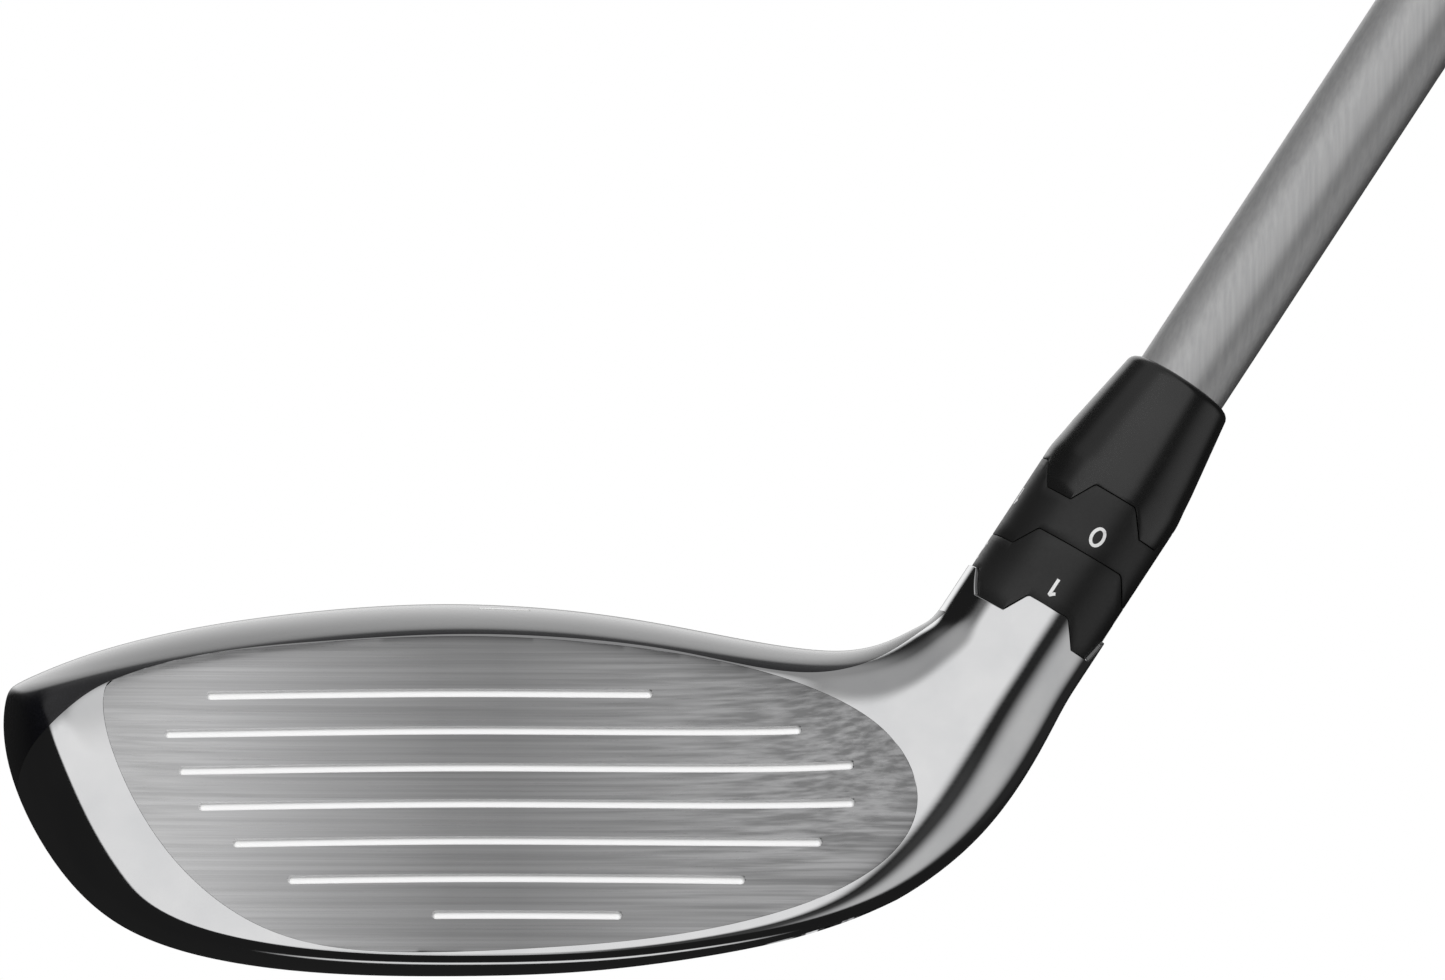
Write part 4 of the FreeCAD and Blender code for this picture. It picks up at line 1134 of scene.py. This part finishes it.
turnsRound = np.linspace(0, 2 * math.pi, 41)
arcDown = np.linspace(math.radians(140), math.radians(-90), 18)
arcUp = np.linspace(math.radians(90), math.radians(-140), 18)
dial = dict(
    height=2.1, stroke=0.32, raised=0.025, sunk=0.05, upper=(4.2, 10.12), lower=(-2.5, 3.62),
    # strokes of each digit, as points across and up in half heights
    digits=[
        np.stack([0.58 * np.cos(turnsRound), 0.86 * np.sin(turnsRound)], 1),
        np.array([(-0.42, 0.48), (-0.30, 0.54), (0.02, 0.86), (0.06, 0.84), (0.06, 0.6), (0.06, -0.86)]),
        np.vstack([np.stack([0.50 * np.cos(arcDown[:14]), 0.42 + 0.44 * np.sin(arcDown[:14])], 1),
                   [(0.30, 0.02), (-0.52, -0.80), (-0.50, -0.86), (0.56, -0.86)]]),
        np.vstack([np.stack([0.46 * np.cos(arcDown), 0.43 + 0.43 * np.sin(arcDown)], 1),
                   np.stack([0.52 * np.cos(arcUp), -0.43 + 0.43 * np.sin(arcUp)], 1)]),
    ])


# digit drawn with one even stroke, then wrapped on the cog: sideways becomes angle, upwards runs along the
# shaft; it is turned over, to be read by someone looking down the shaft
def dialNumber(digit, turn, middle, body, name):
    path = dial["digits"][digit] * dial["height"] / 2
    way = np.gradient(path, axis=0)
    way /= np.linalg.norm(way, axis=1, keepdims=True)
    side = np.stack([-way[:, 1], way[:, 0]], 1) * dial["stroke"] / 2
    flat = -np.stack([path + side, path - side], 1).reshape(-1, 2)
    triangles = gridTriangles(len(path), 2, wrapped=False)
    radius = cogSizes["radius"]
    angle = math.radians(turn) + flat[:, 0] / radius
    over = aboutShaft(radius + dial["raised"], angle, middle + flat[:, 1])
    under = aboutShaft(radius - dial["sunk"], angle, middle + flat[:, 1])
    makeMark(name, over, under, triangles, body)


for place in range(4):
    for cog, first, (turn, above) in (("upper", 0, dial["upper"]), ("lower", 1, dial["lower"])):
        dialNumber((place + first) % 4, turn - 90.0 * place, rimAt + above, cog + "_cog",
                   f"{cog}Number{place}")


dashSizes = dict(half=2.6, width=0.6, behind=10.5)


# short alignment dash on the crown: a bar with half-round ends, set on the skin and a hair above it; the
# places on the skin come from Newton's steps, as on the face
def crownDash():
    near = (skinNormals[:, 2] > 0.2)
    long, thin = dashSizes["half"], dashSizes["width"] / 2
    x = np.linspace(-long, long, 27)
    y = np.linspace(-thin, thin, 7)
    gx, gy = [g.ravel() for g in np.meshgrid(x, y, indexing="ij")]
    squeeze = np.sqrt(np.clip(1 - (np.maximum(0, np.abs(gx) - long + thin) / thin) ** 2, 0, 1))
    px, py = gx, dashSizes["behind"] + gy * squeeze
    apart = [(skinPoints[near][None, :, axis] - place[:, None]) ** 2 for axis, place in enumerate((px, py))]
    pick = (apart[0] + apart[1]).argmin(1)
    u, v = allU[near][pick], allV[near][pick]
    for _ in range(6):
        here = headAt(u, v)
        du, dv = (headAt(u + 1e-3, v) - here) * 1e3, (headAt(u, v + 1e-3) - here) * 1e3
        ex, ey = px - here[:, 0], py - here[:, 1]
        det = du[:, 0] * dv[:, 1] - dv[:, 0] * du[:, 1]
        u, v = u + (ex * dv[:, 1] - ey * dv[:, 0]) / det, v + (ey * du[:, 0] - ex * du[:, 1]) / det
    on, normal = headAt(u, v), headNormal(u, v)
    if normal[:, 2].mean() < 0:
        normal = -normal
    triangles = gridTriangles(len(x), len(y), wrapped=False)
    makeMark("crownDash", on + normal * 0.02, on - normal * 0.05, triangles, "head")


crownDash()
print("marks made")

# CAD nodes that keep their own shape
keptNodes = dict(toe_weight=tungsten, damping_pad=urethane, thread_insert=screwMetal, screw_washer=nylon,
                 weight_washer=nylon, cog_retaining_ring=ringRubber, tip_plug=plugResin, tip_weight=tungsten,
                 grip_tape=tape)
for node, material in keptNodes.items():
    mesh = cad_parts[node].data
    mesh.materials.clear()
    mesh.materials.append(material)


floorMesh = bpy.data.meshes.new("floor")
reach, floorAt = 60.0, -0.12        # metres; the club is held above the floor
floorMesh.from_pydata([(-reach, -reach, floorAt), (reach, -reach, floorAt), (reach, reach, floorAt),
                       (-reach, reach, floorAt)], [], [(0, 1, 2, 3)])
floor = bpy.data.objects.new("floor", floorMesh)
bpy.context.scene.collection.objects.link(floor)
floorPaint, floorTree, floorShader = freshMaterial("paleFloor", Base_Color=(0.86, 0.86, 0.86, 1),
                                                   Roughness=0.8)
floorMesh.materials.append(floorPaint)
# the floor shows to the camera only, so that polished steel mirrors the studio alone
floorPath = floorTree.nodes.new("ShaderNodeLightPath")
floorClear = floorTree.nodes.new("ShaderNodeBsdfTransparent")
floorMix = floorTree.nodes.new("ShaderNodeMixShader")
floorTree.links.new(floorPath.outputs["Is Camera Ray"], floorMix.inputs["Fac"])
floorTree.links.new(floorClear.outputs["BSDF"], floorMix.inputs[1])
floorTree.links.new(floorShader.outputs["BSDF"], floorMix.inputs[2])
floorTree.links.new(floorMix.outputs["Shader"], floorTree.nodes["Material Output"].inputs["Surface"])

# the studio as the polished parts see it, laid down in order over a dark room: azimuth from the front towards
# the heel, elevation, angle where a patch starts to fade, angle where it has gone, brightness
studio = dict(
    room=0.02,
    softboxes=[
        (-10, 25, 38, 54, 0.80),       # large box at the front
        (0, 90, 22, 44, 0.27),         # pale ceiling
        (-70, 60, 8, 26, 0.35),
        (14, 60, 6, 20, 0.62),
        (5, -28, 5, 13, 0.80),         # strip below the front box
        (7, -44, 4, 12, 0.60),
        (27, -30, 4, 19, 0.05),        # flag beside the strip
        (80, -28, 8, 40, 0.50),        # low box on the heel side
    ],
    # dark cloth on the toe side, behind and below
    flag=dict(towards=(-0.671, 0.278, -0.688), start=-0.04, full=0.07, bright=0.012),
    behind=[
        (180, 31, 17, 28, 1.0),        # backdrop
        (166, -42, 4, 11, 0.75),       # strip under the backdrop
    ],
)


# direction for an azimuth from the front towards the heel and an elevation
def towards(azimuth, elevation):
    az, el = math.radians(azimuth), math.radians(elevation)
    return (math.sin(az) * math.cos(el), -math.cos(az) * math.cos(el), math.sin(el))


# world: camera rays see plain white; everything else sees the room with its patches laid over it one by one
def makeStudio():
    world = bpy.data.worlds.new("studio")
    bpy.context.scene.world = world
    world.use_nodes = True
    tree = world.node_tree
    tree.nodes.clear()
    links = tree.links
    place = tree.nodes.new("ShaderNodeTexCoord")

    def laidOver(shade, direction, start, full, bright):
        dot = tree.nodes.new("ShaderNodeVectorMath")
        dot.operation = "DOT_PRODUCT"
        dot.inputs[1].default_value = direction
        links.new(place.outputs["Generated"], dot.inputs[0])
        mask = tree.nodes.new("ShaderNodeMapRange")
        mask.interpolation_type = "SMOOTHSTEP"
        mask.inputs["From Min"].default_value = start
        mask.inputs["From Max"].default_value = full
        links.new(dot.outputs["Value"], mask.inputs["Value"])
        mix = tree.nodes.new("ShaderNodeMix")
        mix.data_type = "RGBA"
        mix.inputs["B"].default_value = (bright, bright, bright, 1)
        links.new(mask.outputs["Result"], mix.inputs["Factor"])
        links.new(shade, mix.inputs["A"])
        return mix.outputs["Result"]

    def softPatch(shade, azimuth, elevation, inner, outer, bright):
        start, full = math.cos(math.radians(outer)), math.cos(math.radians(inner))
        return laidOver(shade, towards(azimuth, elevation), start, full, bright)

    room = tree.nodes.new("ShaderNodeRGB")
    room.outputs[0].default_value = (studio["room"],) * 3 + (1,)
    shade = room.outputs[0]
    flag = studio["flag"]
    for patch in studio["softboxes"]:
        shade = softPatch(shade, *patch)
    shade = laidOver(shade, flag["towards"], flag["start"], flag["full"], flag["bright"])
    for patch in studio["behind"]:
        shade = softPatch(shade, *patch)
    path = tree.nodes.new("ShaderNodeLightPath")
    plain = tree.nodes.new("ShaderNodeMix")
    plain.data_type = "RGBA"
    plain.inputs["B"].default_value = (1, 1, 1, 1)
    links.new(path.outputs["Is Camera Ray"], plain.inputs["Factor"])
    links.new(shade, plain.inputs["A"])
    background = tree.nodes.new("ShaderNodeBackground")
    links.new(plain.outputs["Result"], background.inputs["Color"])
    output = tree.nodes.new("ShaderNodeOutputWorld")
    links.new(background.outputs["Background"], output.inputs["Surface"])


makeStudio()

softLights = [  # name, place, aim, size, watts
    ("keyLight", (-0.9, -1.9, 1.5), (0.05, 0.0, 0.1), 1.4, 45.0),
    ("fillLight", (1.8, 0.6, 1.4), (0.2, 0.0, 0.3), 1.2, 8.0),
]
for name, place, aim, size, watts in softLights:
    lamp = bpy.data.lights.new(name, "AREA")
    lamp.energy = watts
    lamp.size = size
    holder = bpy.data.objects.new(name, lamp)
    holder.location = place
    holder.rotation_mode = "QUATERNION"
    holder.rotation_quaternion = (Vector(aim) - Vector(place)).to_track_quat("-Z", "Y")
    holder.visible_glossy = False
    bpy.context.scene.collection.objects.link(holder)

# level with the face, a little to the toe side and just below it
cameraPlan = dict(azimuth=9.0, elevation=-3.0, distance=2.0, width=0.14167, aim=(0.02010, 0.0, 0.04777))
azimuth, elevation = math.radians(cameraPlan["azimuth"]), math.radians(cameraPlan["elevation"])
looking = Vector((math.sin(azimuth) * math.cos(elevation), math.cos(azimuth) * math.cos(elevation),
                  -math.sin(elevation)))
cameraData = bpy.data.cameras.new("camera")
cameraData.sensor_width = 36.0
cameraData.lens = 36.0 * cameraPlan["distance"] / cameraPlan["width"]
cameraData.clip_start, cameraData.clip_end = 0.05, 100.0
camera = bpy.data.objects.new("camera", cameraData)
camera.location = Vector(cameraPlan["aim"]) - looking * cameraPlan["distance"]
camera.rotation_mode = "QUATERNION"
camera.rotation_quaternion = looking.to_track_quat("-Z", "Y")
bpy.context.scene.collection.objects.link(camera)
bpy.context.scene.camera = camera
bpy.context.scene.view_settings.view_transform = "Standard"
print("studio made")
